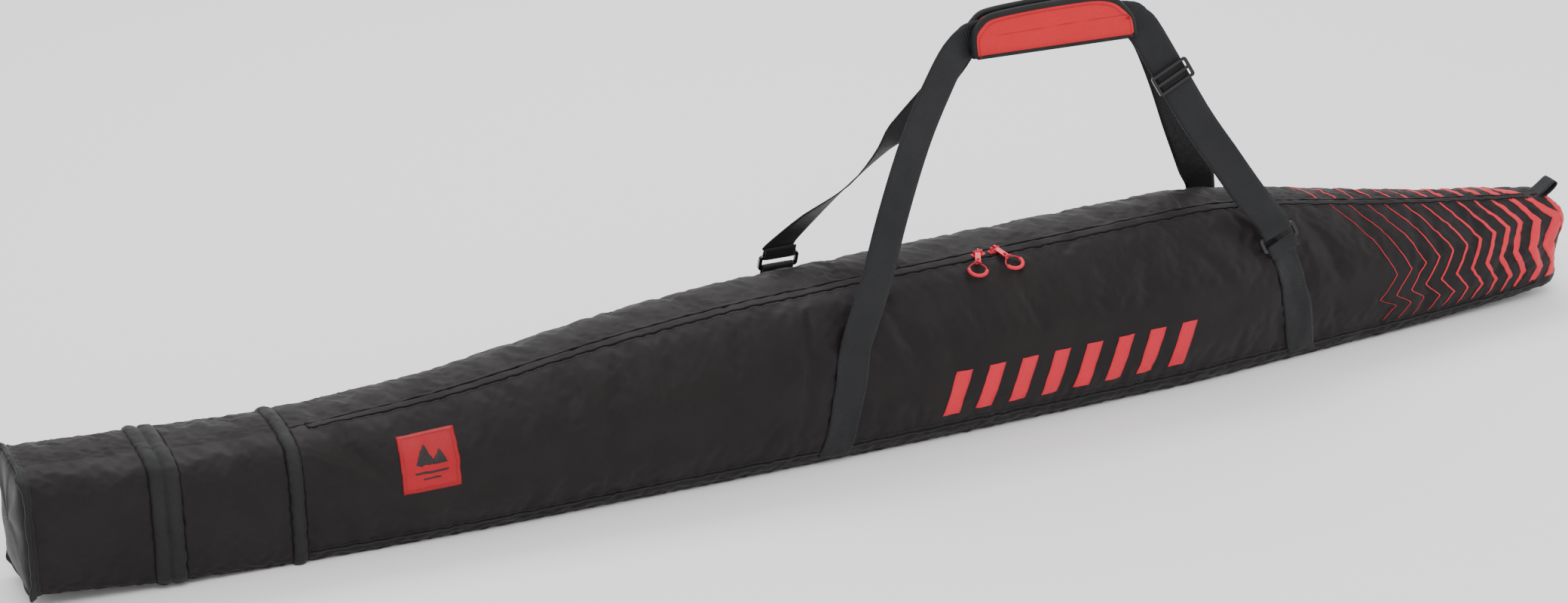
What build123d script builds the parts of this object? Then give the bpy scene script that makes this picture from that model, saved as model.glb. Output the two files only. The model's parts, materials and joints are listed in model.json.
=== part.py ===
from build123d import *
from math import cos, radians, sin
import os

os.makedirs("parts", exist_ok=True)

# Ski bag for one pair of skis. X runs along the bag, tail end at -X and tip end at +X.
# The bag rests on z = 0, its front (pull and patch side) faces -Y. All sizes in mm.

# ---- driving dimensions ----
TAIL_X = -975.0            # end seam at the tail
TIP_X = 975.0              # end seam at the tip
MID_BAND_X = -825.0        # ring between the two length extensions
BODY_BAND_X = -675.0       # ring where the extensions join the main bag
FABRIC = 1.2               # coated outer fabric
FOAM = 3.0                 # padding behind it
LINING = 0.6               # inner cloth
WEBBING = 40.0             # webbing width
WEBBING_T = 1.6            # webbing thickness
ZIP_Y = 26.0               # the zip lies this far in front of the crest
ZIP_GAP = 1.8              # gap between the two zip edges, where the slider web runs
FLAP_X = (60.0, 440.0)     # stretch of the lid that turns as one rigid flap
FOLD_X = (-300.0, 800.0)   # ends of the lid stretches that twist as the flap opens
PAD_X = (166.0, 368.0)     # hand wrap, along the bag
PAD_Z = (441.0, 487.0)     # hand wrap, bottom fold and top edge
PAD_LEAF = 8.0             # thickness of one padded leaf of the wrap
CLEAR = 0.4                # running gap between pieces that move apart

# ---- shape of the stuffed bag: station x, half width, crest height, base height ----
SUNK = -0.2                # the loaded floor is pressed flat on z = 0 by this much
STATIONS = [
    (-975, 53, 163, 22), (-825, 62, 150, 8), (-675, 68, 145, SUNK), (-500, 82, 157, SUNK),
    (-300, 88, 186, SUNK), (-150, 92, 199, SUNK), (60, 93.5, 204, SUNK), (440, 88.5, 213, SUNK),
    (480, 84, 214, SUNK), (620, 70, 190, SUNK), (800, 57, 157, 4), (900, 52, 143, 10),
    (975, 46, 131, 16), (1000, 30, 112, 34),
]
WALL_SEAMS = (-300, 60, 440)   # where each wall is joined end to end
ZIP_LINE = [(-675, 19), (-500, 23), (-300, 25), (-150, ZIP_Y), (480, ZIP_Y), (620, 21),
            (800, 16), (900, 14), (1000, 12)]

# Half of the cross-section, from the base up: fraction of half width, fraction of height.
SOFT = [(0.0, 0.0), (0.72, 0.0), (0.88, 0.035), (0.955, 0.10), (0.995, 0.28), (1.0, 0.45),
        (0.98, 0.62), (0.90, 0.78), (0.72, 0.905), (0.45, 0.972), (0.0, 1.0)]
BOXY = [(0.0, 0.0), (0.80, 0.0), (0.93, 0.022), (0.985, 0.09), (1.0, 0.28), (1.0, 0.45),
        (1.0, 0.64), (0.985, 0.83), (0.88, 0.955), (0.50, 0.995), (0.0, 1.0)]
SEAM, SHOULDER, LAST_SIDE, CREST = 3, 8, 9, 10
ZIP_LEVEL = 0.982          # height fraction of the zip


def between(x, table, column=1):
    """Straight-line value of a table's column at x."""
    for low, high in zip(table, table[1:]):
        if x <= high[0]:
            share = (x - low[0]) / (high[0] - low[0])
            return low[column] + share * (high[column] - low[column])
    return table[-1][column]


def boxiness(x):
    """1 at the square tail, 0 from the middle of the bag onwards."""
    return min(1.0, max(0.0, (-500 - x) / 325.0))


def skin(x, k, depth=0.0):
    """Point of the bag's surface, a depth inwards. k < 0 is the front, k > 0 the rear.

    k may also be "zip" or "lid" (the two edges along the zip) or "hinge" (the lid's rear edge).
    """
    a = between(x, STATIONS, 1)
    top = between(x, STATIONS, 2)
    base = between(x, STATIONS, 3)
    box = boxiness(x)
    if k in ("zip", "lid"):
        y = -between(x, ZIP_LINE) + (ZIP_GAP if k == "lid" else 0.0)
        level = ZIP_LEVEL if k == "zip" else ZIP_LEVEL + 0.001
    else:
        index = SHOULDER if k == "hinge" else abs(k)
        fy = SOFT[index][0] * (1 - box) + BOXY[index][0] * box
        level = SOFT[index][1] * (1 - box) + BOXY[index][1] * box
        y = (a - depth) * fy * (-1 if k != "hinge" and k < 0 else 1)
        if k == "hinge":
            y -= CLEAR
            level += 0.001
    return (x, y, base + depth + (top - base - 2 * depth) * level)


def mix(x, k_low, k_high, share, depth):
    """Point of the surface part of the way from one corner of the section to the next."""
    low, high = skin(x, k_low, depth), skin(x, k_high, depth)
    return tuple(l + (h - l) * share for l, h in zip(low, high))


def loft_through(outlines):
    """Ruled solid through closed outlines with the same number of corners."""
    wires = [Wire.make_polygon([Vector(*p) for p in outline], close=True) for outline in outlines]
    return Solid.make_loft(wires, ruled=True)


def stations_between(start, end):
    """The bag's stations from start to end, with both ends included."""
    inner = [s[0] for s in STATIONS if start < s[0] < end]
    return [start] + inner + [end]


def panel(start, end, arc, outer, inner):
    """Layer of the bag wall along an arc of the section, between two depths."""
    outlines = []
    for x in stations_between(start, end):
        outlines.append([skin(x, k, outer) for k in arc] + [skin(x, k, inner) for k in reversed(arc)])
    return loft_through(outlines)


def tube(start, end, outer, inner):
    """Closed sleeve of the bag's whole section, between two depths."""
    loop = list(range(-CREST, 0)) + list(range(0, CREST))
    bodies = []
    for depth in (outer, inner):
        outlines = [[skin(x, k, depth) for k in loop] for x in stations_between(start, end)]
        bodies.append(loft_through(outlines))
    return bodies[0] - bodies[1]


def plug(start, end, depth):
    """Solid slice of the bag's section."""
    loop = list(range(-CREST, 0)) + list(range(0, CREST))
    return loft_through([[skin(x, k, depth) for k in loop] for x in stations_between(start, end)])


def sewn_band(line, half, free_end=None):
    """Webbing sewn flat on the side: line is a list of (x, k) points of its middle.

    free_end is the point where the band ends off the bag, at the pivot of a strap.
    """
    outlines = []
    for x, k in line:
        low, high = -CLEAR, -CLEAR - WEBBING_T
        outlines.append([skin(x - half, k, low), skin(x + half, k, low),
                         skin(x + half, k, high), skin(x - half, k, high)])
    if free_end:
        x, y, z = free_end
        outlines.append([(x - half, y, z), (x + half, y, z),
                         (x + half, y + WEBBING_T, z), (x - half, y + WEBBING_T, z)])
    return loft_through(outlines)


def webbing_sections(line):
    """Cross-sections of flat webbing along a line of (point, width direction)."""
    spots = [Vector(*p) for p, _ in line]
    outlines = []
    for i, spot in enumerate(spots):
        along = (spots[min(i + 1, len(spots) - 1)] - spots[max(i - 1, 0)]).normalized()
        wide = Vector(*line[i][1])
        wide = (wide - along * wide.dot(along)).normalized()
        normal = wide.cross(along).normalized()
        w, t = wide * (WEBBING / 2), normal * (WEBBING_T / 2)
        outlines.append([tuple(spot - w - t), tuple(spot + w - t),
                         tuple(spot + w + t), tuple(spot - w + t)])
    return outlines


def save(node, shape):
    export_step(shape, f"parts/{node}.step")


# ---- walls of the main bag ----
FRONT = [-3, -4, -5, -6, -7, -8, -9, "zip"]
FRONT_INNER = FRONT[:-1]
BOTTOM = [-3, -2, -1, 1, 2, 3]
REAR = [3, 4, 5, 6, 7, 8]
LID = ["lid", CREST, 9, "hinge"]
LAYERS = {"shell": (0.0, FABRIC), "padding": (FABRIC, FABRIC + FOAM),
          "lining": (FABRIC + FOAM, FABRIC + FOAM + LINING)}
WALL = FABRIC + FOAM + LINING


def wall(arc, outer, inner):
    """One wall of the main bag, made of lengths that meet at its seams."""
    cuts = (BODY_BAND_X,) + WALL_SEAMS + (TIP_X,)
    above_floor = Pos(0, 0, 500) * Box(3000, 1000, 1000)
    lengths = [panel(start, end, arc, outer, inner) for start, end in zip(cuts, cuts[1:])]
    return Compound([s for piece in lengths for s in (piece & above_floor).solids()])


def walls():
    for layer, (outer, inner) in LAYERS.items():
        front_arc = FRONT if layer == "shell" else FRONT_INNER
        save(f"front_{layer}", wall(front_arc, outer, inner))
        save(f"rear_{layer}", wall(REAR, outer, inner))
        save(f"bottom_{layer}", wall(BOTTOM, outer, inner))


def lid():
    """Top strip: fixed at both ends, twisting beside the flap, rigid in the middle."""
    save("lid_tail_fixed", panel(BODY_BAND_X, FOLD_X[0], LID, 0, FABRIC))
    save("lid_tail_fold", panel(FOLD_X[0], FLAP_X[0], LID, 0, FABRIC))
    save("lid_flap", panel(FLAP_X[0] + CLEAR, FLAP_X[1] - CLEAR, LID, 0, FABRIC))
    save("lid_tip_fold", panel(FLAP_X[1], FOLD_X[1], LID, 0, FABRIC))
    save("lid_tip_fixed", panel(FOLD_X[1], TIP_X, LID, 0, FABRIC))


def ends():
    """Square tail end, its bound edge, the tip end and the zip end tab."""
    save("tail_end_panel", plug(TAIL_X, TAIL_X + 4, FABRIC) + dome(TAIL_X, -9.0))
    save("tail_end_binding", tube(TAIL_X - 3, TAIL_X + 9, -2.0, FABRIC - 0.2))
    tip = loft_through([[skin(x, k, d) for k in list(range(-CREST, 0)) + list(range(0, CREST))]
                        for x, d in ((TIP_X, 0.0), (TIP_X + 12, 0.0), (TIP_X + 25, 0.0))])
    save("tip_end_panel", tip)
    height = between(TIP_X, STATIONS, 2)
    tab = Pos(TIP_X + 2, 0, height + 1.6) * Rot(0, 32, 0) * Box(24, 22, 2.4)
    save("zip_end_tab", tab)


def dome(x, reach):
    """Bulge of a stuffed end panel."""
    loop = list(range(-CREST, 0)) + list(range(0, CREST))
    wide = [skin(x, k, FABRIC) for k in loop]
    middle_y = 0.0
    middle_z = sum(p[2] for p in wide) / len(wide)
    steps = []
    for share, size in ((0.0, 0.97), (0.6, 0.86), (1.0, 0.6)):
        steps.append([(x + reach * share, middle_y + (p[1] - middle_y) * size,
                       middle_z + (p[2] - middle_z) * size) for p in wide])
    return loft_through(list(reversed(steps)) if reach < 0 else steps)


def extensions():
    """Two fabric sleeves with the webbing rings that stiffen their seams."""
    save("body_ring", tube(BODY_BAND_X - 15, BODY_BAND_X, -1.6, WALL))
    save("mid_ring", tube(MID_BAND_X - 16, MID_BAND_X + 16, -1.6, FABRIC))
    save("extension_tail", tube(TAIL_X + 9.5, MID_BAND_X - 16.5, 0, FABRIC))
    save("extension_body", tube(MID_BAND_X + 16.5, BODY_BAND_X - 15.5, 0, FABRIC))


# ---- zip ----
def zip_strip(start, end, edge, towards, share, outer, inner):
    """Tape or coil along one edge of the zip, between two depths under the fabric."""
    outlines = []
    for x in stations_between(start, end):
        outlines.append([skin(x, edge, outer), mix(x, edge, towards, share, outer),
                         mix(x, edge, towards, share, inner), skin(x, edge, inner)])
    return loft_through(outlines)


TAPE_T = 0.8
COIL_T = 1.8
TAPE_TOP = FABRIC + 0.1
COIL_TOP = TAPE_TOP + TAPE_T + 0.05
COIL_BOTTOM = COIL_TOP + COIL_T


def zipper():
    zip_start, zip_end = BODY_BAND_X + 35, TIP_X - 5
    flap_start, flap_end = FLAP_X[0] + CLEAR, FLAP_X[1] - CLEAR
    tape, coil = (TAPE_TOP, TAPE_TOP + TAPE_T), (COIL_TOP, COIL_BOTTOM)
    save("zip_tape_front", zip_strip(zip_start, zip_end, "zip", -LAST_SIDE, 0.85, *tape))
    save("zip_coil_front", zip_strip(zip_start, zip_end, "zip", -LAST_SIDE, 0.25, *coil))
    save("zip_tape_lid", zip_strip(flap_start, flap_end, "lid", CREST, 0.6, *tape))
    save("zip_coil_lid", zip_strip(flap_start, flap_end, "lid", CREST, 0.17, *coil))


SLIDER_X = {"left": 161.0, "right": 183.0}   # both sliders rest together
SLIDER = (17.0, 9.0)                         # length, width of the top plate
PLATE_T = 1.5
BRIDGE_SLOT = 2.6                            # height of the slot under the slider's bridge
BRIDGE_BAR = 1.6
PULL_SKEW = {"left": -24.0, "right": 24.0}   # how far the pulls hang to the side
PULL_DROP = 18.0                             # slope of the shoulder that the pulls lie along
TAB = (17.0, 6.5, 1.6)                       # length, width, thickness of the metal tab
CORD_R = 1.0
GRIP_R = 2.2
GRIP_BEND = 10.5
HOLE_X = TAB[0] - 1.6          # cord hole, from the bridge bar
GRIP_X = HOLE_X + 15.0         # start of the moulded grip
GRIP_SAG = 2.4                 # the grip hangs this much nearer the bag than the tab


def slider_frame(x):
    """Plane at the zip edge of the front fabric: x along the zip, y level, towards the lid."""
    along = (Vector(*skin(x + 5, "zip")) - Vector(*skin(x - 5, "zip"))).normalized()
    return Plane(origin=Vector(*skin(x, "zip")), x_dir=along, z_dir=along.cross(Vector(0, 1, 0)))


WEB_T = 0.9
WEB_FAR = ZIP_GAP / 2 + WEB_T / 2          # far face of the slider's web, in the zip gap
LIFT = 0.5                                 # slider plates stand this far off the fabric and coil


def bridge_height():
    return LIFT + PLATE_T + BRIDGE_SLOT + BRIDGE_BAR / 2


def slider(x):
    """Slider body: top plate with a bridge, a web in the gap, and the plate under the coil."""
    length, width = SLIDER
    y_mid = WEB_FAR - width / 2
    top = Pos(0, y_mid, LIFT + PLATE_T / 2) * Box(length, width, PLATE_T)
    top = fillet(top.edges().filter_by(Axis.Z), 2.5)
    under = COIL_BOTTOM + LIFT + 0.6
    web = Pos(0, WEB_FAR - WEB_T / 2, (LIFT - under) / 2) * Box(length - 6, WEB_T, LIFT + under + 0.4)
    bottom = Pos(0, WEB_FAR - 2.25, -under - PLATE_T / 2) * Box(length - 5, 4.5, PLATE_T)
    crown_z = LIFT + PLATE_T + (BRIDGE_SLOT + BRIDGE_BAR) / 2
    crown = Pos(0, y_mid, crown_z) * Box(11.5, BRIDGE_BAR, BRIDGE_SLOT + BRIDGE_BAR)
    slot = Pos(0, y_mid, LIFT + PLATE_T + BRIDGE_SLOT / 2) * Box(7.5, 3 * BRIDGE_BAR, BRIDGE_SLOT)
    return slider_frame(x) * (top + web + bottom + (crown - slot))


def pull_frame(x, skew):
    """Plane at the bridge bar: x down the slope, y along the bar, z away from the bag."""
    base = slider_frame(x)
    y_mid = WEB_FAR - SLIDER[1] / 2
    centre = base.from_local_coords(Vector(0, y_mid, bridge_height()))
    along = base.x_dir
    down = Vector(0, -cos(radians(PULL_DROP)), -sin(radians(PULL_DROP)))
    down = down.rotate(Axis((0, 0, 0), tuple(down.cross(along))), skew)
    across = (along - down * along.dot(down)).normalized()
    return Plane(origin=centre, x_dir=down, z_dir=down.cross(across))


def pull_tab():
    """Metal tab: an eye round the bridge bar and a hole for the cord."""
    eye = Rot(90, 0, 0) * (Cylinder(3.0, 2.4) - Cylinder(2.0, 3.0))
    length, width, thick = TAB
    plate = Pos(2.3 + length / 2, 0, 0) * Box(length, width, thick)
    plate = fillet(plate.edges().filter_by(Axis.Z), 2.2)
    hole = Pos(HOLE_X, 0, 0) * Cylinder(1.9, 4)
    return eye + (plate - hole)


def pull_cord():
    """Cord through the tab's hole, its two ends running into the moulded grip."""
    lift = TAB[2] / 2 + CORD_R + 0.3
    side, low = GRIP_BEND, -GRIP_SAG
    points = [(GRIP_X, -side, low), (GRIP_X - 3.5, -side, low), (HOLE_X + 6.0, -3.2, 0.8),
              (HOLE_X + 3.6, -0.6, lift), (HOLE_X, 0.0, lift), (HOLE_X, 0.0, -lift),
              (HOLE_X + 3.6, 0.6, -lift), (HOLE_X + 6.0, 3.2, -lift), (GRIP_X - 3.5, side, low),
              (GRIP_X, side, low)]
    path = FilletPolyline(*points, radius=1.02)
    start = Plane(origin=path @ 0, z_dir=path % 0)
    return sweep(start * Circle(CORD_R), path=path)


def pull_grip():
    """Moulded U over the cord's ends."""
    start = Plane(origin=(GRIP_X, 0, -GRIP_SAG), x_dir=(0, 1, 0), z_dir=(1, 0, 0))
    profile = start * Pos(GRIP_BEND, 0) * Circle(GRIP_R)
    return revolve(profile, Axis((GRIP_X, 0, -GRIP_SAG), (0, 0, 1)), revolution_arc=-180)


def pulls():
    for side, x in SLIDER_X.items():
        save(f"zip_slider_{side}", slider(x))
        place = pull_frame(x, PULL_SKEW[side])
        save(f"pull_tab_{side}", place * pull_tab())
        save(f"pull_cord_{side}", place * pull_cord())
        save(f"pull_grip_{side}", place * pull_grip())


# ---- webbing bands, rings and carry straps ----
HINGE_LINE = ((-47.0, 80.0, 184.0), (526.0, 80.0, 176.0))   # rear pivot of the carry handle
RING = (50.0, 20.0, 3.6)          # outer length, outer height, thickness
RING_BAR = 4.0
FRONT_RING = (541.0, -78.0, 176.0)
FRONT_RING_ALONG = (0.92, 0.0, 0.39)
FRONT_PULL = (-0.50, 0.20, 0.84)  # direction in which the front right strap pulls its ring
REAR_PULL = (0.10, -0.29, 0.95)


def ring_frame(centre, along, pull):
    """Plane of a ring: x along its long bars, y towards the strap."""
    x_dir = Vector(*along).normalized()
    y_dir = Vector(*pull)
    y_dir = (y_dir - x_dir * y_dir.dot(x_dir)).normalized()
    return Plane(origin=Vector(*centre), x_dir=x_dir, z_dir=x_dir.cross(y_dir))


def ring_shape():
    length, height, thick = RING
    outer = fillet(Box(length, height, thick).edges().filter_by(Axis.Z), 4.0)
    inner = fillet(Box(length - 2 * RING_BAR, height - 2 * RING_BAR, thick).edges().filter_by(Axis.Z), 1.5)
    return outer - inner


def bar_offset():
    return RING[1] / 2 - RING_BAR / 2


def keeper(length):
    """Webbing folded round a ring bar at y = 0 and stitched shut at y = -length."""
    room = RING_BAR + 1.4
    top = room / 2 + WEBBING_T
    block = Pos(0, (top - length) / 2, 0) * Box(WEBBING - 1.0, top + length, room + 2 * WEBBING_T)
    stitched = 3.0
    hole_low = -length + stitched
    hole = Pos(0, (room / 2 + hole_low) / 2, 0) * Box(WEBBING + 2, room / 2 - hole_low, room)
    return block - hole


STRAP_LOOP = 9.0      # length of the fold of a carry strap round its ring
FOLD_GRIP = 2.0       # how far the strap reaches into its own fold


def rear_ring_frame():
    start, end = Vector(*HINGE_LINE[0]), Vector(*HINGE_LINE[1])
    along = (end - start).normalized()
    plane = ring_frame(HINGE_LINE[0], tuple(along), REAR_PULL)
    lifted = plane.origin + plane.y_dir * bar_offset()
    return Plane(origin=lifted, x_dir=plane.x_dir, z_dir=plane.z_dir)


def bands():
    """Webbing sewn on both sides of the bag, from the lower seam to the shoulder."""
    half = WEBBING / 2
    save("band_front_left", sewn_band([(-48, -3), (-41, -4), (-35, -5), (-29, -6), (-23, -7)], half))
    save("band_front_right", sewn_band([(586, -3), (578, -4), (571, -5), (561, -6), (550, -7)], half))
    save("band_rear_left", sewn_band([(-52, 3), (-50, 4), (-49, 5), (-48, 6), (-47, 7)], half))
    rear_end = (HINGE_LINE[1][0], HINGE_LINE[1][1] - WEBBING_T / 2, HINGE_LINE[1][2] - 2.2)
    right = [(560, 3), (552, 4), (543, 5), (535, 6), (527, 7)]
    save("band_rear_right", sewn_band(right, half, rear_end))


def rings():
    save("ring_front_right", front_ring_frame() * ring_shape())
    save("keeper_front_right", front_ring_frame() * Pos(0, -bar_offset(), 0) * keeper(11.0))
    save("ring_rear_left", rear_ring_frame() * ring_shape())
    save("keeper_rear_left", rear_ring_frame() * Pos(0, -bar_offset(), 0) * keeper(16.0))


def front_ring_frame():
    return ring_frame(FRONT_RING, FRONT_RING_ALONG, FRONT_PULL)


def strap_fold(frame):
    """End of a carry strap, folded round the upper bar of a ring."""
    return frame * Pos(0, bar_offset(), 0) * Rot(0, 0, 180) * keeper(STRAP_LOOP)


def strap_start(frame, further):
    """Point and width direction of a carry strap above its fold."""
    local = Vector(0, bar_offset() + STRAP_LOOP + further, 0)
    return tuple(frame.from_local_coords(local)), tuple(frame.x_dir)


PLY = 1.8        # inside the wrap each strap lies this far from the middle

# Middle lines of the two carry straps, with the direction of the webbing's width.
FRONT_STRAP = [((-19.0, -92.0, 168.0), (1, 0, 0)), ((4.0, -84.0, 222.0), (0.97, 0, -0.2)),
               ((26.0, -70.0, 275.0), (0.95, 0, -0.3)), ((54.0, -54.0, 336.0), (0.88, 0, -0.4)),
               ((82.0, -36.0, 381.0), (0.85, 0, -0.5)), ((112.0, -19.0, 420.0), (0.8, 0, -0.6)),
               ((136.0, -7.0, 447.0), (0.65, 0, -0.75)), ((155.0, -PLY, 459.0), (0.3, 0, -1)),
               ((170.0, -PLY, 463.0), (0.1, 0, -1)), ((267.0, -PLY, 467.0), (0, 0, -1)),
               ((362.0, -PLY, 457.0), (-0.3, 0, -1)), ((377.0, -PLY, 449.0), (-0.5, 0, -1)),
               ((392.0, -8.0, 430.0), (-0.86, 0, -0.47)), ((439.0, -38.0, 337.0), (-0.86, 0, -0.47)),
               ((471.0, -54.0, 285.0), (-0.86, 0, -0.5)), ((505.0, -68.0, 232.0), (-0.88, 0, -0.45))]
FRONT_CUTS = (3, 13)      # the strap moves with the handle between these points
REAR_STRAP = [((-12.0, 66.0, 245.0), (0.7, 0.55, -0.4)),
              ((34.0, 50.0, 286.0), (0.55, 0.8, -0.2)), ((70.0, 37.0, 328.0), (0.6, 0.6, -0.4)),
              ((88.0, 30.0, 352.0), (0.72, 0.3, -0.6)), ((136.0, 10.0, 418.0), (0.72, 0.3, -0.6)),
              ((147.0, 5.0, 445.0), (0.6, 0, -0.8)), ((158.0, PLY, 459.0), (0.3, 0, -1)),
              ((172.0, PLY, 463.0), (0.1, 0, -1)),
              ((267.0, PLY, 467.0), (0, 0, -1)), ((362.0, PLY, 457.0), (-0.3, 0, -1)),
              ((377.0, PLY, 449.0), (-0.5, 0, -1)),
              ((398.0, 8.0, 425.0), (-0.7, 0, -0.6)), ((428.0, 18.0, 366.0), (-0.88, 0, -0.45)),
              ((458.0, 36.0, 305.0), (-0.9, 0, -0.4)), ((488.0, 56.0, 250.0), (-0.92, 0, -0.35)),
              ((506.0, 69.5, 220.0), (-0.95, 0, -0.2)), ((522.0, 79.6, 196.0), (-1, 0, -0.1)),
              ((525.0, 79.8, 178.4), (-1, 0, 0))]


def straps():
    """The front strap bends below its cuts; the rear strap turns as one with the handle."""
    front_line = FRONT_STRAP + [strap_start(front_ring_frame(), 12.0), strap_start(front_ring_frame(), 0.0)]
    sections = webbing_sections(front_line)
    low, high = FRONT_CUTS
    save("strap_front_left", loft_through(sections[:low + 1]))
    save("strap_front_top", loft_through(sections[low:high + 1]))
    save("strap_front_right", loft_through(sections[high:]) + strap_fold(front_ring_frame()))
    rear_line = [strap_start(rear_ring_frame(), -FOLD_GRIP), strap_start(rear_ring_frame(), 12.0)] + REAR_STRAP
    save("strap_rear", loft_through(webbing_sections(rear_line)) + strap_fold(rear_ring_frame()))


TRIGLIDE = (50.0, 26.0, 3.0)
TRIGLIDE_BAR = 3.6
TRIGLIDE_AT = 12           # the front strap's point above the adjuster
TRIGLIDE_STANDS = 1.6      # gap between the adjuster and the strap under it


def triglide():
    """Three-bar webbing adjuster."""
    length, height, thick = TRIGLIDE
    window = (height - 3 * TRIGLIDE_BAR) / 2
    plate = fillet(Box(length, height, thick).edges().filter_by(Axis.Z), 3.5)
    for side in (-1, 1):
        middle = side * (window + TRIGLIDE_BAR) / 2
        plate -= Pos(0, middle, 0) * Box(length - 2 * TRIGLIDE_BAR, window, thick)
    return plate


def triglide_frame():
    """Plane of the adjuster on the outside of the front strap, between two points of its line."""
    low, high = Vector(*FRONT_STRAP[TRIGLIDE_AT][0]), Vector(*FRONT_STRAP[TRIGLIDE_AT + 1][0])
    along = (high - low).normalized()
    wide = Vector(*FRONT_STRAP[TRIGLIDE_AT][1])
    wide = (wide - along * wide.dot(along)).normalized()
    normal = along.cross(wide)
    if normal.Y > 0:
        normal = normal * -1
    stands = WEBBING_T / 2 + TRIGLIDE[2] / 2 + TRIGLIDE_STANDS
    return Plane(origin=(low + high) * 0.5 + normal * stands, x_dir=wide, z_dir=normal)


# ---- padded hand wrap ----
def leaf(y_near, y_far):
    """One padded leaf: slanted ends, rounded top corners, straight bottom fold."""
    x0, x1 = PAD_X
    z0, z1 = PAD_Z
    outline = [(x0, z0 + 1), (x0 - 2, z0 + 26), (x0 + 16, z1 - 1), (x0 + 84, z1 + 2),
               (x1 - 52, z1 + 1), (x1 - 30, z1 - 4), (x1 - 4, z0 + 16), (x1, z0 - 4)]
    face = [[(x, y, z) for x, z in outline] for y in (y_near, y_far)]
    return loft_through(face)


def edging(y_near, y_far):
    """Bound edge along the top and both ends of a leaf."""
    x0, x1 = PAD_X
    z0, z1 = PAD_Z
    outline = [(x0 - 4, z0), (x0 - 6.5, z0 + 27), (x0 + 14, z1 + 3), (x0 + 84, z1 + 6.5),
               (x1 - 51, z1 + 5.5), (x1 - 27, z1 - 0.5), (x1 + 0.5, z0 + 18), (x1 + 4.5, z0 - 4)]
    inner = [(x0 + 0, z0 + 0.5), (x0 - 2.2, z0 + 26.2), (x0 + 15.8, z1 - 0.8), (x0 + 84, z1 + 2.2),
             (x1 - 52, z1 + 1.2), (x1 - 29.8, z1 - 3.8), (x1 - 3.8, z0 + 16.2), (x1 + 0.2, z0 - 4)]
    ring = outline + list(reversed(inner))
    return loft_through([[(x, y, z) for x, z in ring] for y in (y_near, y_far)])


WRAP_INSIDE = 4.2     # half the room between the two leaves, where the straps run


def wrap():
    near, far = WRAP_INSIDE, WRAP_INSIDE + PAD_LEAF
    save("wrap_rear_leaf", leaf(near, far))
    save("wrap_rear_edging", edging(near + 1, far - 0.5))
    save("wrap_front_leaf", leaf(-far, -near))
    save("wrap_front_edging", edging(-far + 0.5, -near - 1))
    strip_t, strip_h = 1.2, 9.0
    for name, y in (("wrap_hook_strip", near - strip_t / 2), ("wrap_loop_strip", strip_t / 2 - near)):
        save(name, Pos(sum(PAD_X) / 2, y, PAD_Z[1] - 3.0) * Box(120, strip_t, strip_h))


# ---- badge and the tie strap inside ----
BADGE_X = (-567.0, -502.0)
BADGE_T = 1.4


def badge():
    """Square badge sewn on the front, near the extensions."""
    outlines = []
    for x in BADGE_X:
        rows = []
        for depth in (-CLEAR, -CLEAR - BADGE_T):
            row = [mix(x, -5, -6, 0.1, depth), skin(x, -6, depth), skin(x, -7, depth),
                   mix(x, -7, -8, 0.75, depth)]
            rows.append(row)
        outlines.append(rows[0] + list(reversed(rows[1])))
    save("badge", loft_through(outlines))


def tie_strap():
    """Hook-and-loop strap on the floor of the bag that holds the skis together."""
    floor = WALL + 0.3
    save("ski_strap", Pos(-260, 0, floor + 0.8) * Box(WEBBING, 104, WEBBING_T))
    buckle = Box(52, 30, 3) - Pos(0, 7, 0) * Box(42, 8, 3) - Pos(0, -7, 0) * Box(42, 8, 3)
    save("ski_strap_buckle", Pos(-260, 34, floor + WEBBING_T + 1.8) * buckle)


walls()
lid()
ends()
extensions()
zipper()
pulls()
bands()
rings()
straps()
save("adjuster", triglide_frame() * triglide())
wrap()
badge()
tie_strap()
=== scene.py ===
"""Blender look of the ski bag: fabric shell, extensions, straps, hand wrap, zip, print and light."""

import json
import math

import bpy
import numpy as np
from mathutils import Matrix, Vector

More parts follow.
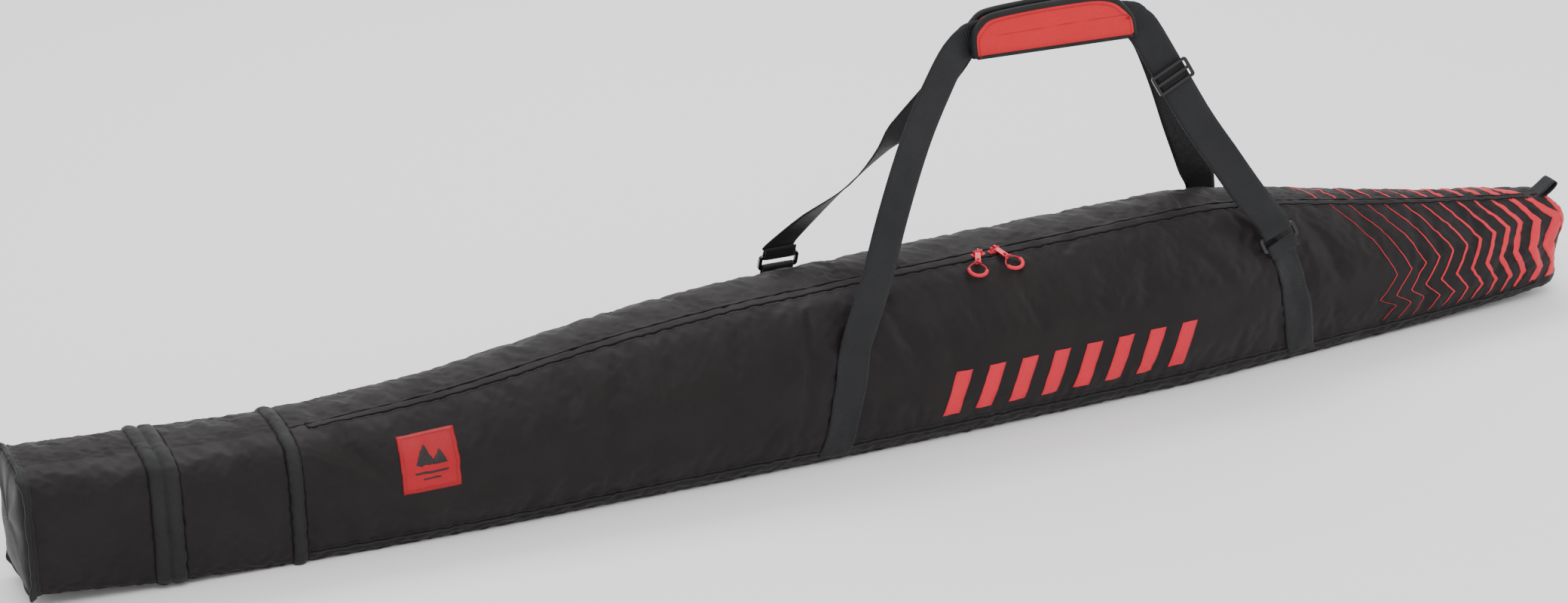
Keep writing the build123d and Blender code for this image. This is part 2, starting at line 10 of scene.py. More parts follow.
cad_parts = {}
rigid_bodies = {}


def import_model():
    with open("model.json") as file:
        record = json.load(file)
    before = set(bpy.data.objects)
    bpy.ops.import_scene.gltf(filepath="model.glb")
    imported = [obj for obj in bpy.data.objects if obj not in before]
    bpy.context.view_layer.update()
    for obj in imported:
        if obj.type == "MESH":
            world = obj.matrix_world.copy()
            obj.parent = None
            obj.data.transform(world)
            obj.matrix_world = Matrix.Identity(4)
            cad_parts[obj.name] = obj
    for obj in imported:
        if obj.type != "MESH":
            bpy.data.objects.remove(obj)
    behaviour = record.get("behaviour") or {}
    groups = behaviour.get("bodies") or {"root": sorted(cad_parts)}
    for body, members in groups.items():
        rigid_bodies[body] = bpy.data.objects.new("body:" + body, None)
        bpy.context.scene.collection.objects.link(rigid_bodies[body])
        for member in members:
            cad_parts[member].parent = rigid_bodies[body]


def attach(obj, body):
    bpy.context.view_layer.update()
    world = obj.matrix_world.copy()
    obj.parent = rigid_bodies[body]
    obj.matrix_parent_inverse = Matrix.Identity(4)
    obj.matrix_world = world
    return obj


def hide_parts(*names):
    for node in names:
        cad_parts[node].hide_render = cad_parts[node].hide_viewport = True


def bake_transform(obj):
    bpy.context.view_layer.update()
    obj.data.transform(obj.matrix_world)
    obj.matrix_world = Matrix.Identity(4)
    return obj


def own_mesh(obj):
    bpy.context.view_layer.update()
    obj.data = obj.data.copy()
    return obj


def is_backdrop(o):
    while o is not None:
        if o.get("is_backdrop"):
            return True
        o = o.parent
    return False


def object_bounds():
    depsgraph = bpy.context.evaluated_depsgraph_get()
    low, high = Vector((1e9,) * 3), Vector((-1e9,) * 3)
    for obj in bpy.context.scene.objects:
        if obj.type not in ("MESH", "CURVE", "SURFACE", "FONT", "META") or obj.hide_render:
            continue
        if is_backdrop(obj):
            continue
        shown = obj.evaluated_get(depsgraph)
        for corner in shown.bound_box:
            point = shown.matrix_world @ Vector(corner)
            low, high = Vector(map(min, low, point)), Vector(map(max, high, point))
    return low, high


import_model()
cad_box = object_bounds()
rng = np.random.default_rng(7)

# ---------------------------------------------------------------- camera
YAW, PITCH, ROLL = math.radians(23.989), math.radians(24.627), math.radians(-0.23)
ahead = Vector((math.sin(YAW) * math.cos(PITCH), math.cos(YAW) * math.cos(PITCH), -math.sin(PITCH)))
right = Vector((math.cos(YAW), -math.sin(YAW), 0))
up = right.cross(ahead)
right2 = right * math.cos(ROLL) + up * math.sin(ROLL)
up2 = up * math.cos(ROLL) - right * math.sin(ROLL)
cam_data = bpy.data.cameras.new("camera")
cam_data.sensor_width = 36.0
cam_data.lens = 82.194
cam_data.clip_end = 60.0
cam = bpy.data.objects.new("camera", cam_data)
bpy.context.collection.objects.link(cam)
turn = Matrix((right2, up2, -ahead)).transposed().to_4x4()
cam.matrix_world = Matrix.Translation((-1.59995, -3.42949, 1.89651)) @ turn
bpy.context.scene.camera = cam

# ---------------------------------------------------------------- bag shape, in metres
STATIONS = [
    (-0.975, 0.053, 0.163, 0.022), (-0.825, 0.062, 0.150, 0.008), (-0.675, 0.068, 0.145, 0.0),
    (-0.500, 0.082, 0.157, 0.0), (-0.300, 0.088, 0.186, 0.0), (-0.150, 0.092, 0.199, 0.0),
    (0.060, 0.0935, 0.204, 0.0), (0.440, 0.0885, 0.213, 0.0), (0.480, 0.084, 0.214, 0.0),
    (0.620, 0.070, 0.190, 0.0), (0.800, 0.057, 0.157, 0.004), (0.900, 0.052, 0.143, 0.010),
    (0.975, 0.046, 0.131, 0.016), (1.000, 0.040, 0.126, 0.020),
]
ZIP_LINE = [(-0.975, 0.019), (-0.675, 0.019), (-0.500, 0.023), (-0.300, 0.025), (-0.150, 0.026),
            (0.480, 0.026), (0.620, 0.021), (0.800, 0.016), (0.900, 0.014), (1.0, 0.012)]
ZIP_GAP = 0.0018
SOFT = [(0.0, 0.0), (0.72, 0.0), (0.88, 0.035), (0.955, 0.10), (0.995, 0.28), (1.0, 0.45),
        (0.98, 0.62), (0.90, 0.78), (0.72, 0.905), (0.45, 0.972), (0.0, 1.0)]
BOXY = [(0.0, 0.0), (0.80, 0.0), (0.93, 0.022), (0.985, 0.09), (1.0, 0.28), (1.0, 0.45),
        (1.0, 0.64), (0.985, 0.83), (0.88, 0.955), (0.50, 0.995), (0.0, 1.0)]
TAIL_SEAM = -0.975
MID_BAND = (-0.8415, -0.8085)   # double band between the two extensions
BODY_BAND = (-0.6905, -0.675)   # band where they join the main bag
FLAP_X = (0.0604, 0.4396)       # length of the lid that turns with the flap
NOSE_X = 0.955
WALL = 0.0048                   # fabric, padding and lining together
FABRIC = 0.0016
FLOOR_GAP = 0.0002
MOVE_CAP = 0.0065               # most that the cloth pass may move a point


def straight(x, table, column):
    """Straight-line value of a table's column at x."""
    for low, high in zip(table, table[1:]):
        if x <= high[0]:
            return low[column] + (x - low[0]) / (high[0] - low[0]) * (high[column] - low[column])
    return table[-1][column]


def rounded(x, table, column):
    """The table's value with its corners rounded off over 45 mm each way."""
    lowest, highest = table[0][0], table[-1][0]
    values = [straight(min(max(x + d * 0.015, lowest), highest), table, column) for d in range(-3, 4)]
    return sum(values) / 7


def catmull(points, k):
    """Smooth curve through the half-section's corners, mirrored at both ends."""
    i = min(int(k), len(points) - 2)
    t = k - i
    before = points[i - 1] if i else (-points[1][0], points[1][1])
    after = points[i + 2] if i + 2 < len(points) else (-points[-2][0], points[-2][1])
    p = (before, points[i], points[i + 1], after)
    out = []
    for c in (0, 1):
        a, b, e, d = (q[c] for q in p)
        out.append(0.5 * (2 * b + (e - a) * t + (2 * a - 5 * b + 4 * e - d) * t * t
                          + (3 * b - a - 3 * e + d) * t ** 3))
    return out


def half(x, k):
    """Point k of the half-section at x: share of the half width, share of the height."""
    box = min(1.0, max(0.0, (-0.5 - x) / 0.325))
    s, b = catmull(SOFT, k), catmull(BOXY, k)
    return s[0] * (1 - box) + b[0] * box, max(0.0, s[1] * (1 - box) + b[1] * box)


def zip_k(x, offset):
    """Section parameter of the zip line."""
    target = (rounded(x, ZIP_LINE, 1) - offset) / rounded(x, STATIONS, 1)
    low, high = 9.0, 10.0
    if half(x, 9.0)[0] < target:
        low = 8.0
    for _ in range(20):
        middle = (low + high) / 2
        if half(x, middle)[0] > target:
            low = middle
        else:
            high = middle
    return (low + high) / 2


# Rows run from the zip down the front, under the bag, up the rear and over the lid.
N_TOP, N_SIDE, N_BASE, N_LID = 5, 24, 10, 10
ROW_FRONT_SEAM = N_TOP + N_SIDE
ROW_REAR_SEAM = ROW_FRONT_SEAM + 2 * N_BASE
ROW_HINGE = ROW_REAR_SEAM + N_SIDE
ROWS = ROW_HINGE + N_LID + N_TOP + 1


def row_list(x):
    """Side and section parameter of every row at x."""
    front, rear = zip_k(x, 0.0), zip_k(x, ZIP_GAP)
    rows = [(-1, front + (8 - front) * i / N_TOP) for i in range(N_TOP)]
    rows += [(-1, 8 - 5 * i / N_SIDE) for i in range(N_SIDE)]
    rows += [(-1, 3 - 3 * i / N_BASE) for i in range(N_BASE)]
    rows += [(1, 3 * i / N_BASE) for i in range(N_BASE)]
    rows += [(1, 3 + 5 * i / N_SIDE) for i in range(N_SIDE)]
    rows += [(1, 8 + 2 * i / N_LID) for i in range(N_LID)]
    rows += [(-1, 10 + (rear - 10) * i / N_TOP) for i in range(N_TOP + 1)]
    return rows


def row_of(k):
    """Row of a signed section parameter: front below 0, rear above."""
    if k < 0:
        return N_TOP + (8 + k) * N_SIDE / 5 if k <= -3 else ROW_FRONT_SEAM + (3 + k) * N_BASE / 3
    return ROW_FRONT_SEAM + N_BASE + k * N_BASE / 3 if k <= 3 else ROW_REAR_SEAM + (k - 3) * N_SIDE / 5


BREAKS = [TAIL_SEAM, -0.9655, *MID_BAND, *BODY_BAND, *FLAP_X, 0.800, NOSE_X]
columns, cut = [BREAKS[0]], {BREAKS[0]: 0}
for low, high in zip(BREAKS, BREAKS[1:]):
    n = max(2, round((high - low) / 0.0066))
    columns += [low + (high - low) * (i + 1) / n for i in range(n)]
    cut[high] = len(columns) - 1
NOSE_STEPS = 9
grid = []
for x in columns:
    width, crest, base = (rounded(x, STATIONS, c) for c in (1, 2, 3))
    grid.append([(x, side * width * half(x, k)[0], base + (crest - base) * half(x, k)[1])
                 for side, k in row_list(x)])


def reach(share):
    """How far the nose stands out at a share of its height: a bulge, a waist, a lower corner."""
    bulge = 0.013 * math.exp(-((share - 0.74) / 0.20) ** 2)
    corner = 0.005 * math.exp(-((share - 0.10) / 0.14) ** 2)
    return 0.031 + bulge + corner - 0.010 * max(0.0, share - 0.86) / 0.14


last = grid[-1]
for step in range(1, NOSE_STEPS + 1):
    t = step / NOSE_STEPS * math.pi / 2 * 0.985
    row = []
    for x, y, z in last:
        share = (z - 0.014) / 0.120
        shrink = math.cos(t) ** 0.55
        row.append((NOSE_X + reach(share) * math.sin(t), y * shrink,
                    0.068 + (z - 0.068) * (1 - 0.11 * (1 - math.cos(t)))))
    grid.append(row)
grid = np.array(grid)
COLS = len(grid)


# ---------------------------------------------------------------- mesh helpers
def add(name, verts, faces, uvs=None, picks=None, mats=(), smooth=True):
    """New mesh object. uvs has one pair per vertex, picks one material index per face."""
    mesh = bpy.data.meshes.new(name)
    mesh.from_pydata([tuple(float(c) for c in v) for v in verts], [], faces)
    if uvs is not None:
        layer = mesh.uv_layers.new(name="UVMap")
        index = np.zeros(len(mesh.loops), np.int32)
        mesh.loops.foreach_get("vertex_index", index)
        layer.data.foreach_set("uv", np.array(uvs, np.float32)[index].ravel())
    for m in mats:
        mesh.materials.append(m)
    if picks is not None:
        mesh.polygons.foreach_set("material_index", np.array(picks, np.int32))
    mesh.polygons.foreach_set("use_smooth", np.full(len(mesh.polygons), smooth))
    mesh.validate()
    mesh.update()
    obj = bpy.data.objects.new(name, mesh)
    bpy.context.collection.objects.link(obj)
    return obj


def finer(p, closed=False):
    """Twice as many points along the first axis, on a smooth curve through the old ones."""
    if closed:
        q = np.concatenate([p[-1:], p, p[:2]])
    else:
        q = np.concatenate([2 * p[:1] - p[1:2], p, 2 * p[-1:] - p[-2:-1]])
    middle = (-q[:-3] + 9 * q[1:-2] + 9 * q[2:-1] - q[3:]) / 16
    base = p if closed else p[:-1]
    out = np.empty((len(base) + len(middle),) + p.shape[1:])
    out[0::2], out[1::2] = base, middle
    return out if closed else np.concatenate([out, p[-1:]])


def normals(p, wrap=False):
    """Unit normals of a grid of points; wrap if its rows close on themselves."""
    du = np.gradient(p, axis=0)
    if wrap:
        dv = np.roll(p, -1, 1) - np.roll(p, 1, 1)
    else:
        dv = np.gradient(p, axis=1)
    n = np.cross(dv, du)
    return n / np.maximum(np.linalg.norm(n, axis=2, keepdims=True), 1e-12)


def slab(name, p, n, thick, mats, uv=None, wrap=False):
    """Closed sheet: outer face on p, inner face a thickness below along n."""
    nu, nv = p.shape[:2]
    if uv is None:
        along = np.concatenate([[0], np.cumsum(np.linalg.norm(np.diff(p[:, nv // 2], axis=0), axis=1))])
        across = np.concatenate([[0], np.cumsum(np.linalg.norm(np.diff(p[nu // 2], axis=0), axis=1))])
        uv = np.stack(np.broadcast_arrays(across[None, :] - across[-1] / 2, along[:, None]), 2)
    verts = np.concatenate([p.reshape(-1, 3), (p - n * thick).reshape(-1, 3)])
    uvs = np.concatenate([uv.reshape(-1, 2)] * 2)
    faces, picks = [], []
    m = nu * nv
    spans = nv if wrap else nv - 1
    for i in range(nu - 1):
        for j in range(spans):
            k = (j + 1) % nv
            a, b, c, d = i * nv + j, i * nv + k, (i + 1) * nv + k, (i + 1) * nv + j
            faces.append((a, b, c, d))
            picks.append(0)
            faces.append((d + m, c + m, b + m, a + m))
            picks.append(1)
    edge = []
    for j in range(spans):
        k = (j + 1) % nv
        edge += [(k, j), ((nu - 1) * nv + j, (nu - 1) * nv + k)]
    if not wrap:
        for i in range(nu - 1):
            edge += [(i * nv, (i + 1) * nv), ((i + 1) * nv + nv - 1, i * nv + nv - 1)]
    for a, b in edge:
        faces.append((a, b, b + m, a + m))
        picks.append(0)
    if len(mats) == 1:
        picks = [0] * len(picks)
    return add(name, verts, faces, uvs, picks, mats)


def tube(name, line, radius, mats, sides=8, flat=1.0, up_dir=(0, 0, 1)):
    """Rounded bar along a line of points; flat below 1 squeezes it along up_dir."""
    line = np.array(line, float)
    t = np.gradient(line, axis=0)
    t /= np.linalg.norm(t, axis=1, keepdims=True)
    a = np.cross(t, np.array(up_dir, float))
    a /= np.maximum(np.linalg.norm(a, axis=1, keepdims=True), 1e-9)
    b = np.cross(a, t)
    rings = []
    for k in range(sides):
        w = 2 * math.pi * k / sides
        rings.append(line + a * radius * math.cos(w) + b * radius * flat * math.sin(w))
    p = np.stack(rings, 1)
    verts = p.reshape(-1, 3)
    n = len(line)
    along = np.concatenate([[0], np.cumsum(np.linalg.norm(np.diff(line, axis=0), axis=1))])
    uvs = [(2 * math.pi * radius * k / sides, along[i]) for i in range(n) for k in range(sides)]
    faces = [(i * sides + k, (i + 1) * sides + k,
              (i + 1) * sides + (k + 1) % sides, i * sides + (k + 1) % sides)
             for i in range(n - 1) for k in range(sides)]
    faces += [tuple(range(sides)), tuple(reversed(range((n - 1) * sides, n * sides)))]
    return add(name, verts, faces, uvs, None, mats)


# ---------------------------------------------------------------- materials
def material(name, color, rough, bump=None, sheen=0.0, coat=0.0, metallic=0.0, mottle=0.12,
             specular=0.3, pattern=None):
    """Surface with uneven colour and roughness. pattern is a weave, rib or grain with its pitch in metres."""
    mat = bpy.data.materials.new(name)
    mat.use_nodes = True
    nodes, links = mat.node_tree.nodes, mat.node_tree.links
    shader = nodes["Principled BSDF"]
    shader.inputs["Specular IOR Level"].default_value = specular
    shader.inputs["Sheen Weight"].default_value = sheen
    shader.inputs["Sheen Roughness"].default_value = 0.4
    shader.inputs["Coat Weight"].default_value = coat
    shader.inputs["Coat Roughness"].default_value = 0.3
    shader.inputs["Metallic"].default_value = metallic
    place = nodes.new("ShaderNodeTexCoord")
    uv, solid = place.outputs["UV"], place.outputs["Object"]

    def noise(scale, detail=3.0, source=solid):
        node = nodes.new("ShaderNodeTexNoise")
        node.inputs["Scale"].default_value = scale
        node.inputs["Detail"].default_value = detail
        links.new(source, node.inputs["Vector"])
        return node.outputs["Fac"]

    def fit(value, low, high, inside=(0.3, 0.7)):
        node = nodes.new("ShaderNodeMapRange")
        node.inputs["From Min"].default_value, node.inputs["From Max"].default_value = inside
        node.inputs["To Min"].default_value, node.inputs["To Max"].default_value = low, high
        links.new(value, node.inputs["Value"])
        return node.outputs["Result"]

    def maths(kind, a, b=0.0):
        node = nodes.new("ShaderNodeMath")
        node.operation = kind
        for i, v in enumerate((a, b)):
            if isinstance(v, (int, float)):
                node.inputs[i].default_value = v
            else:
                links.new(v, node.inputs[i])
        return node.outputs[0]

    tone = fit(noise(9.0), 1 - mottle, 1 + mottle)
    speck = fit(noise(420.0, 2.0), 1 - mottle * 0.8, 1 + mottle * 0.8)
    both = maths("MULTIPLY", tone, speck)
    tint = nodes.new("ShaderNodeVectorMath")
    tint.operation = "SCALE"
    tint.inputs[0].default_value = color
    links.new(both, tint.inputs["Scale"])
    links.new(tint.outputs[0], shader.inputs["Base Color"])
    links.new(fit(noise(24.0), rough - 0.07, min(1.0, rough + 0.09)), shader.inputs["Roughness"])
    heights = []
    if pattern:
        kind, pitch, depth = pattern
        split = nodes.new("ShaderNodeSeparateXYZ")
        links.new(uv, split.inputs[0])
        turns = 2 * math.pi / pitch
        u = maths("SINE", maths("MULTIPLY", split.outputs[0], turns))
        v = maths("SINE", maths("MULTIPLY", split.outputs[1], turns))
        if kind == "weave":
            wave = maths("MULTIPLY", u, v)
        elif kind == "rib":
            fine = maths("SINE", maths("MULTIPLY", split.outputs[0], turns * 1.7))
            wave = maths("ADD", v, maths("MULTIPLY", fine, 0.35))
        else:
            wave = u
        heights.append(maths("MULTIPLY", wave, depth))
    if bump:
        for scale, depth in bump:
            heights.append(maths("MULTIPLY", noise(scale, 4.0), depth))
    if heights:
        total = heights[0]
        for h in heights[1:]:
            total = maths("ADD", total, h)
        node = nodes.new("ShaderNodeBump")
        node.inputs["Strength"].default_value = 1.0
        node.inputs["Distance"].default_value = 1.0
        links.new(total, node.inputs["Height"])
        links.new(node.outputs[0], shader.inputs["Normal"])
    return mat


M = {
    "shell": material("shell_fabric", (0.0060, 0.0036, 0.0040), 0.52,
                      [(16, 0.0016), (70, 0.00045), (900, 0.00005)], sheen=0.035,
                      pattern=("weave", 0.0011, 0.00005), mottle=0.16, specular=0.22),
    "lining": material("lining_fabric", (0.055, 0.055, 0.060), 0.75, [(60, 0.0004)],
                       sheen=0.2, pattern=("weave", 0.0008, 0.00005)),
    "webbing": material("webbing", (0.0062, 0.0064, 0.0078), 0.60, [(300, 0.00012)],
                        sheen=0.05, pattern=("rib", 0.0026, 0.00013), mottle=0.10),
    "binding": material("binding", (0.0050, 0.0050, 0.0058), 0.58, [(300, 0.0001)],
                        sheen=0.045, pattern=("rib", 0.0016, 0.00010)),
    "wrap": material("wrap_red", (0.54, 0.006, 0.013), 0.52, [(22, 0.0009), (500, 0.00006)],
                     sheen=0.03, pattern=("weave", 0.0012, 0.00004), mottle=0.05),
    "print": material("print_red", (0.56, 0.010, 0.028), 0.46, [(16, 0.0010), (500, 0.00004)],
                      pattern=("weave", 0.0011, 0.00003), mottle=0.07),
    "badge": material("badge_red", (0.34, 0.004, 0.010), 0.46, [(90, 0.0002)],
                      pattern=("weave", 0.0010, 0.00004), mottle=0.08),
    "ink": material("badge_ink", (0.020, 0.012, 0.013), 0.50, [(400, 0.00004)]),
    "thread": material("thread", (0.016, 0.015, 0.017), 0.55, [(900, 0.0001)], sheen=0.2),
    "red_thread": material("red_thread", (0.25, 0.010, 0.018), 0.5, [(900, 0.0001)]),
    "plastic": material("plastic_black", (0.010, 0.010, 0.011), 0.24, [(500, 0.00003)], mottle=0.05,
                        coat=0.3),
    "zip": material("zip_black", (0.012, 0.012, 0.013), 0.40, [(800, 0.00004)]),
    "tape": material("zip_tape", (0.016, 0.016, 0.018), 0.70, [(400, 0.0001)],
                     pattern=("rib", 0.0014, 0.00006)),
    "enamel": material("metal_red", (0.60, 0.008, 0.030), 0.30, [(300, 0.00003)], metallic=0.25, coat=0.4,
                       mottle=0.06),
    "cord": material("cord_red", (0.60, 0.010, 0.035), 0.55, [(1400, 0.00015)], sheen=0.1,
                     pattern=("rib", 0.0012, 0.0001)),
    "grip": material("grip_red", (0.62, 0.010, 0.032), 0.46, [(700, 0.00005)], mottle=0.05),
    "loop": material("hook_loop", (0.016, 0.016, 0.018), 0.90, [(1300, 0.0004)], sheen=0.3),
}

# ---------------------------------------------------------------- cloth pass on the whole stuffed bag
def hold(i, j):
    """How firmly the cloth is held at a column and row: seams, bands, floor and ends."""
    x = columns[i] if i < len(columns) else 1.0
    firm = 0.0
    on_band = any(low <= x <= high for low, high in (MID_BAND, BODY_BAND))
    if i in (0, 1) or x > 0.99 or on_band or j in (0, ROWS - 1):
        firm = 1.0
    if j == ROW_HINGE:
        firm = max(firm, 0.85)
    if j in (ROW_FRONT_SEAM, ROW_REAR_SEAM):
        firm = max(firm, 0.7)
    if ROW_FRONT_SEAM + 2 < j < ROW_REAR_SEAM - 2:
        firm = max(firm, 0.8)
    for band in (-0.040, 0.570):
        if abs(x - band) < 0.012 and 4 < j < ROW_HINGE:
            firm = max(firm, 0.5)
    return firm


def folds(i, j):
    """Soft creases that the load and the carry bands pull into the fabric."""
    x = columns[i] if i < len(columns) else 0.97
    drop = j / ROW_FRONT_SEAM
    depth = 0.0
    creases = [(-0.070, -0.090, 0.10, 0.75, 0.008, 0.0022), (0.020, 0.055, 0.10, 0.62, 0.009, 0.0020),
               (0.085, 0.105, 0.22, 0.80, 0.010, 0.0018), (0.400, 0.470, 0.06, 0.50, 0.011, 0.0024),
               (0.500, 0.530, 0.10, 0.55, 0.008, 0.0020), (0.600, 0.640, 0.15, 0.60, 0.010, 0.0016),
               (-0.640, -0.600, 0.05, 0.45, 0.012, 0.0016), (-0.300, -0.220, 0.02, 0.40, 0.014, 0.0018)]
    if j <= ROW_FRONT_SEAM:
        for start, end, low, high, wide, deep in creases:
            middle = start + (end - start) * (drop - low) / (high - low)
            fade = math.exp(-((drop - (low + high) / 2) / (high - low) * 1.9) ** 4)
            depth += deep * fade * math.exp(-((x - middle) / wide) ** 2)
    return depth


start_normals = normals(grid, wrap=True)
creased = grid.copy()
for i in range(COLS):
    for j in range(ROWS):
        creased[i, j] -= start_normals[i, j] * folds(i, j)


def relaxed(p):
    """The bag's grid after a cloth simulation with inner pressure and a little spare fabric."""
    rough = p + rng.normal(0, 0.00035, p.shape)
    faces = [(i * ROWS + j, i * ROWS + (j + 1) % ROWS, (i + 1) * ROWS + (j + 1) % ROWS, (i + 1) * ROWS + j)
             for i in range(COLS - 1) for j in range(ROWS)]
    faces += [tuple(reversed(range(ROWS))), tuple(range((COLS - 1) * ROWS, COLS * ROWS))]
    body = add("cloth_pass", rough.reshape(-1, 3), faces)
    group = body.vertex_groups.new(name="held")
    for i in range(COLS):
        for j in range(ROWS):
            firm = hold(i, j)
            if firm:
                group.add([i * ROWS + j], firm, "REPLACE")
    cloth = body.modifiers.new("Cloth", "CLOTH")
    s = cloth.settings
    s.quality = 5
    s.mass = 0.25
    s.tension_stiffness = s.compression_stiffness = 18
    s.shear_stiffness = 8
    s.bending_stiffness = 1.5
    s.tension_damping = s.compression_damping = 12
    s.air_damping = 3
    s.use_pressure = True
    s.uniform_pressure_force = 4
    s.shrink_min = -0.010
    s.vertex_group_mass = "held"
    s.pin_stiffness = 1.0
    s.effector_weights.gravity = 0
    cloth.point_cache.frame_start, cloth.point_cache.frame_end = 1, 20
    for number in range(1, 21):
        bpy.context.scene.frame_set(number)
    shown = body.evaluated_get(bpy.context.evaluated_depsgraph_get())
    out = np.zeros(len(shown.data.vertices) * 3, np.float32)
    shown.data.vertices.foreach_get("co", out)
    bpy.context.scene.frame_set(1)
    mesh = body.data
    bpy.data.objects.remove(body)
    bpy.data.meshes.remove(mesh)
    return out.reshape(p.shape).astype(float)


moved = relaxed(creased) - creased
size = np.linalg.norm(moved, axis=2, keepdims=True)
moved *= np.minimum(1.0, MOVE_CAP / np.maximum(size, 1e-9))
final = creased + moved
final[:, :, 2] = np.maximum(final[:, :, 2], FLOOR_GAP)

fine = finer(final)
fine = finer(fine.transpose(1, 0, 2)).transpose(1, 0, 2)
fine[:, :, 2] = np.maximum(fine[:, :, 2], FLOOR_GAP)
fine_n = normals(fine)
arc = np.concatenate([np.zeros((len(fine), 1)),
                      np.cumsum(np.linalg.norm(np.diff(fine, axis=1), axis=2), axis=1)], 1)
fine_uv = np.stack([fine[:, :, 0], arc], 2)
column_x = np.array(columns)


def at(x, row, out=0.0):
    """Point a little above the finished fabric, at a place along the bag and a row of the section."""
    i = 2 * float(np.interp(x, column_x, np.arange(len(columns))))
    if x > NOSE_X:
        i = 2 * (len(columns) - 1) + (x - NOSE_X) / 0.045 * 2 * NOSE_STEPS
    i = min(max(i, 0.0), len(fine) - 1.001)
    j = min(max(2 * row, 0.0), fine.shape[1] - 1.001)
    a, b = int(i), int(j)
    u, v = i - a, j - b
    weights = ((a, b, (1 - u) * (1 - v)), (a + 1, b, u * (1 - v)),
               (a, b + 1, (1 - u) * v), (a + 1, b + 1, u * v))
    point = sum(fine[m, n] * w for m, n, w in weights)
    normal = sum(fine_n[m, n] * w for m, n, w in weights)
    return point + normal / np.linalg.norm(normal) * out


def outward(x, row):
    """Direction straight out of the finished fabric."""
    return at(x, row, 1.0) - at(x, row)


def dress(piece, slot, body=None, *nodes):
    """Hide the CAD nodes that a piece replaces and attach the piece to the body that it rides on; slot is not
    used.
    """
    if nodes:
        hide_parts(*nodes)
    if body:
        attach(piece, body)


CLOTH = [M["shell"], M["lining"]]
AROUND = np.arange(2 * (ROWS - 1)) / 2


def part(name, first, last_, row_a, row_b, thick, mats=CLOTH, wrap=False):
    """Piece of the bag's fabric between two columns and two rows."""
    rows = slice(2 * row_a, 2 * row_b + 1)
    cols = slice(2 * first, 2 * last_ + 1)
    p, n, uv = fine[cols, rows], fine_n[cols, rows], fine_uv[cols, rows]
    if wrap:
        p, n, uv = p[:, :-1], n[:, :-1], uv[:, :-1]
    return slab(name, p, n, thick, mats, uv, wrap)


end = COLS - 1
body_i, flap_a, flap_b = cut[BODY_BAND[1]], cut[FLAP_X[0]], cut[FLAP_X[1]]
shell = part("bag_shell", body_i, end, 0, ROW_HINGE, WALL)
dress(shell, "shell_fabric", "bag", "front_shell", "rear_shell", "bottom_shell", "front_padding",
      "rear_padding", "bottom_padding", "front_lining", "rear_lining", "bottom_lining", "tip_end_panel")
lid_tail = part("lid_tail", body_i, flap_a, ROW_HINGE, ROWS - 1, FABRIC)
dress(lid_tail, "shell_fabric", None, "lid_tail_fixed", "lid_tail_fold")
lid_mid = part("lid_middle", flap_a, flap_b, ROW_HINGE, ROWS - 1, FABRIC)
dress(lid_mid, "shell_fabric", "flap", "lid_flap")
lid_tip = part("lid_tip", flap_b, end, ROW_HINGE, ROWS - 1, FABRIC)
dress(lid_tip, "shell_fabric", None, "lid_tip_fold", "lid_tip_fixed")
TAIL_FOLD = ((-0.024, 0, 0), (FLAP_X[0], 0, 0))
TIP_FOLD = ((0.502, 0, 0), (FLAP_X[1], 0, 0))
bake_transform(lid_tail)
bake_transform(lid_tip)

# ---------------------------------------------------------------- nose closure
nose = fine[-1]
count = len(nose)
verts = [tuple(v) for v in nose] + [tuple(v + np.array((0.0012, 0, 0))) for v in nose]
faces = [(k, (k + 1) % count, (k + 1) % count + count, k + count) for k in range(count)]
faces += [tuple(range(count, 2 * count)), tuple(reversed(range(count)))]
seam = add("nose_seam", verts, faces, [(v[1], v[2]) for v in verts], None, [M["shell"]], smooth=False)
dress(seam, "shell_fabric", "bag")

# ---------------------------------------------------------------- extensions and their bands
mid_a, mid_b, ring_a = cut[MID_BAND[0]], cut[MID_BAND[1]], cut[BODY_BAND[0]]
sleeve_tail = part("sleeve_tail", 1 + cut[TAIL_SEAM], mid_a, 0, ROWS - 1, 0.0012, wrap=True)
sleeve_body = part("sleeve_body", mid_b, ring_a, 0, ROWS - 1, 0.0012, wrap=True)
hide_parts("extension_tail")
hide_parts("extension_body")


def band_ring(name, first, last_, humps, height, mats):
    """Band round the whole bag, with a number of raised ridges side by side."""
    x0, x1 = columns[first], columns[last_]
    n = 8 * humps + 1
    rings, norms = [], []
    for i in range(n):
        share = i / (n - 1)
        rise = abs(math.sin(math.pi * humps * share)) ** 0.55
        x = x0 + (x1 - x0) * share
        wob = 1 + 0.12 * np.sin(AROUND * 0.37 + i * 0.2)
        rings.append([at(x, r, 0.0006 + height * rise * w) for r, w in zip(AROUND, wob)])
        norms.append([outward(x, r) for r in AROUND])
    return slab(name, np.array(rings), np.array(norms), 0.0050, mats, wrap=True)


mid_ring = band_ring("double_band", mid_a, mid_b, 2, 0.0028, [M["binding"]])
dress(mid_ring, "binding", "extension_ring", "mid_ring")
body_ring = band_ring("single_band", ring_a, body_i, 1, 0.0030, [M["binding"]])
dress(body_ring, "binding", "bag", "body_ring")
for sleeve, body, joint, anchor in ((sleeve_tail, "extension_ring", "extension_tail_fold", MID_BAND[0]),
                                    (sleeve_body, "bag", "extension_body_fold", BODY_BAND[0])):
    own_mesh(sleeve)
    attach(sleeve, body)

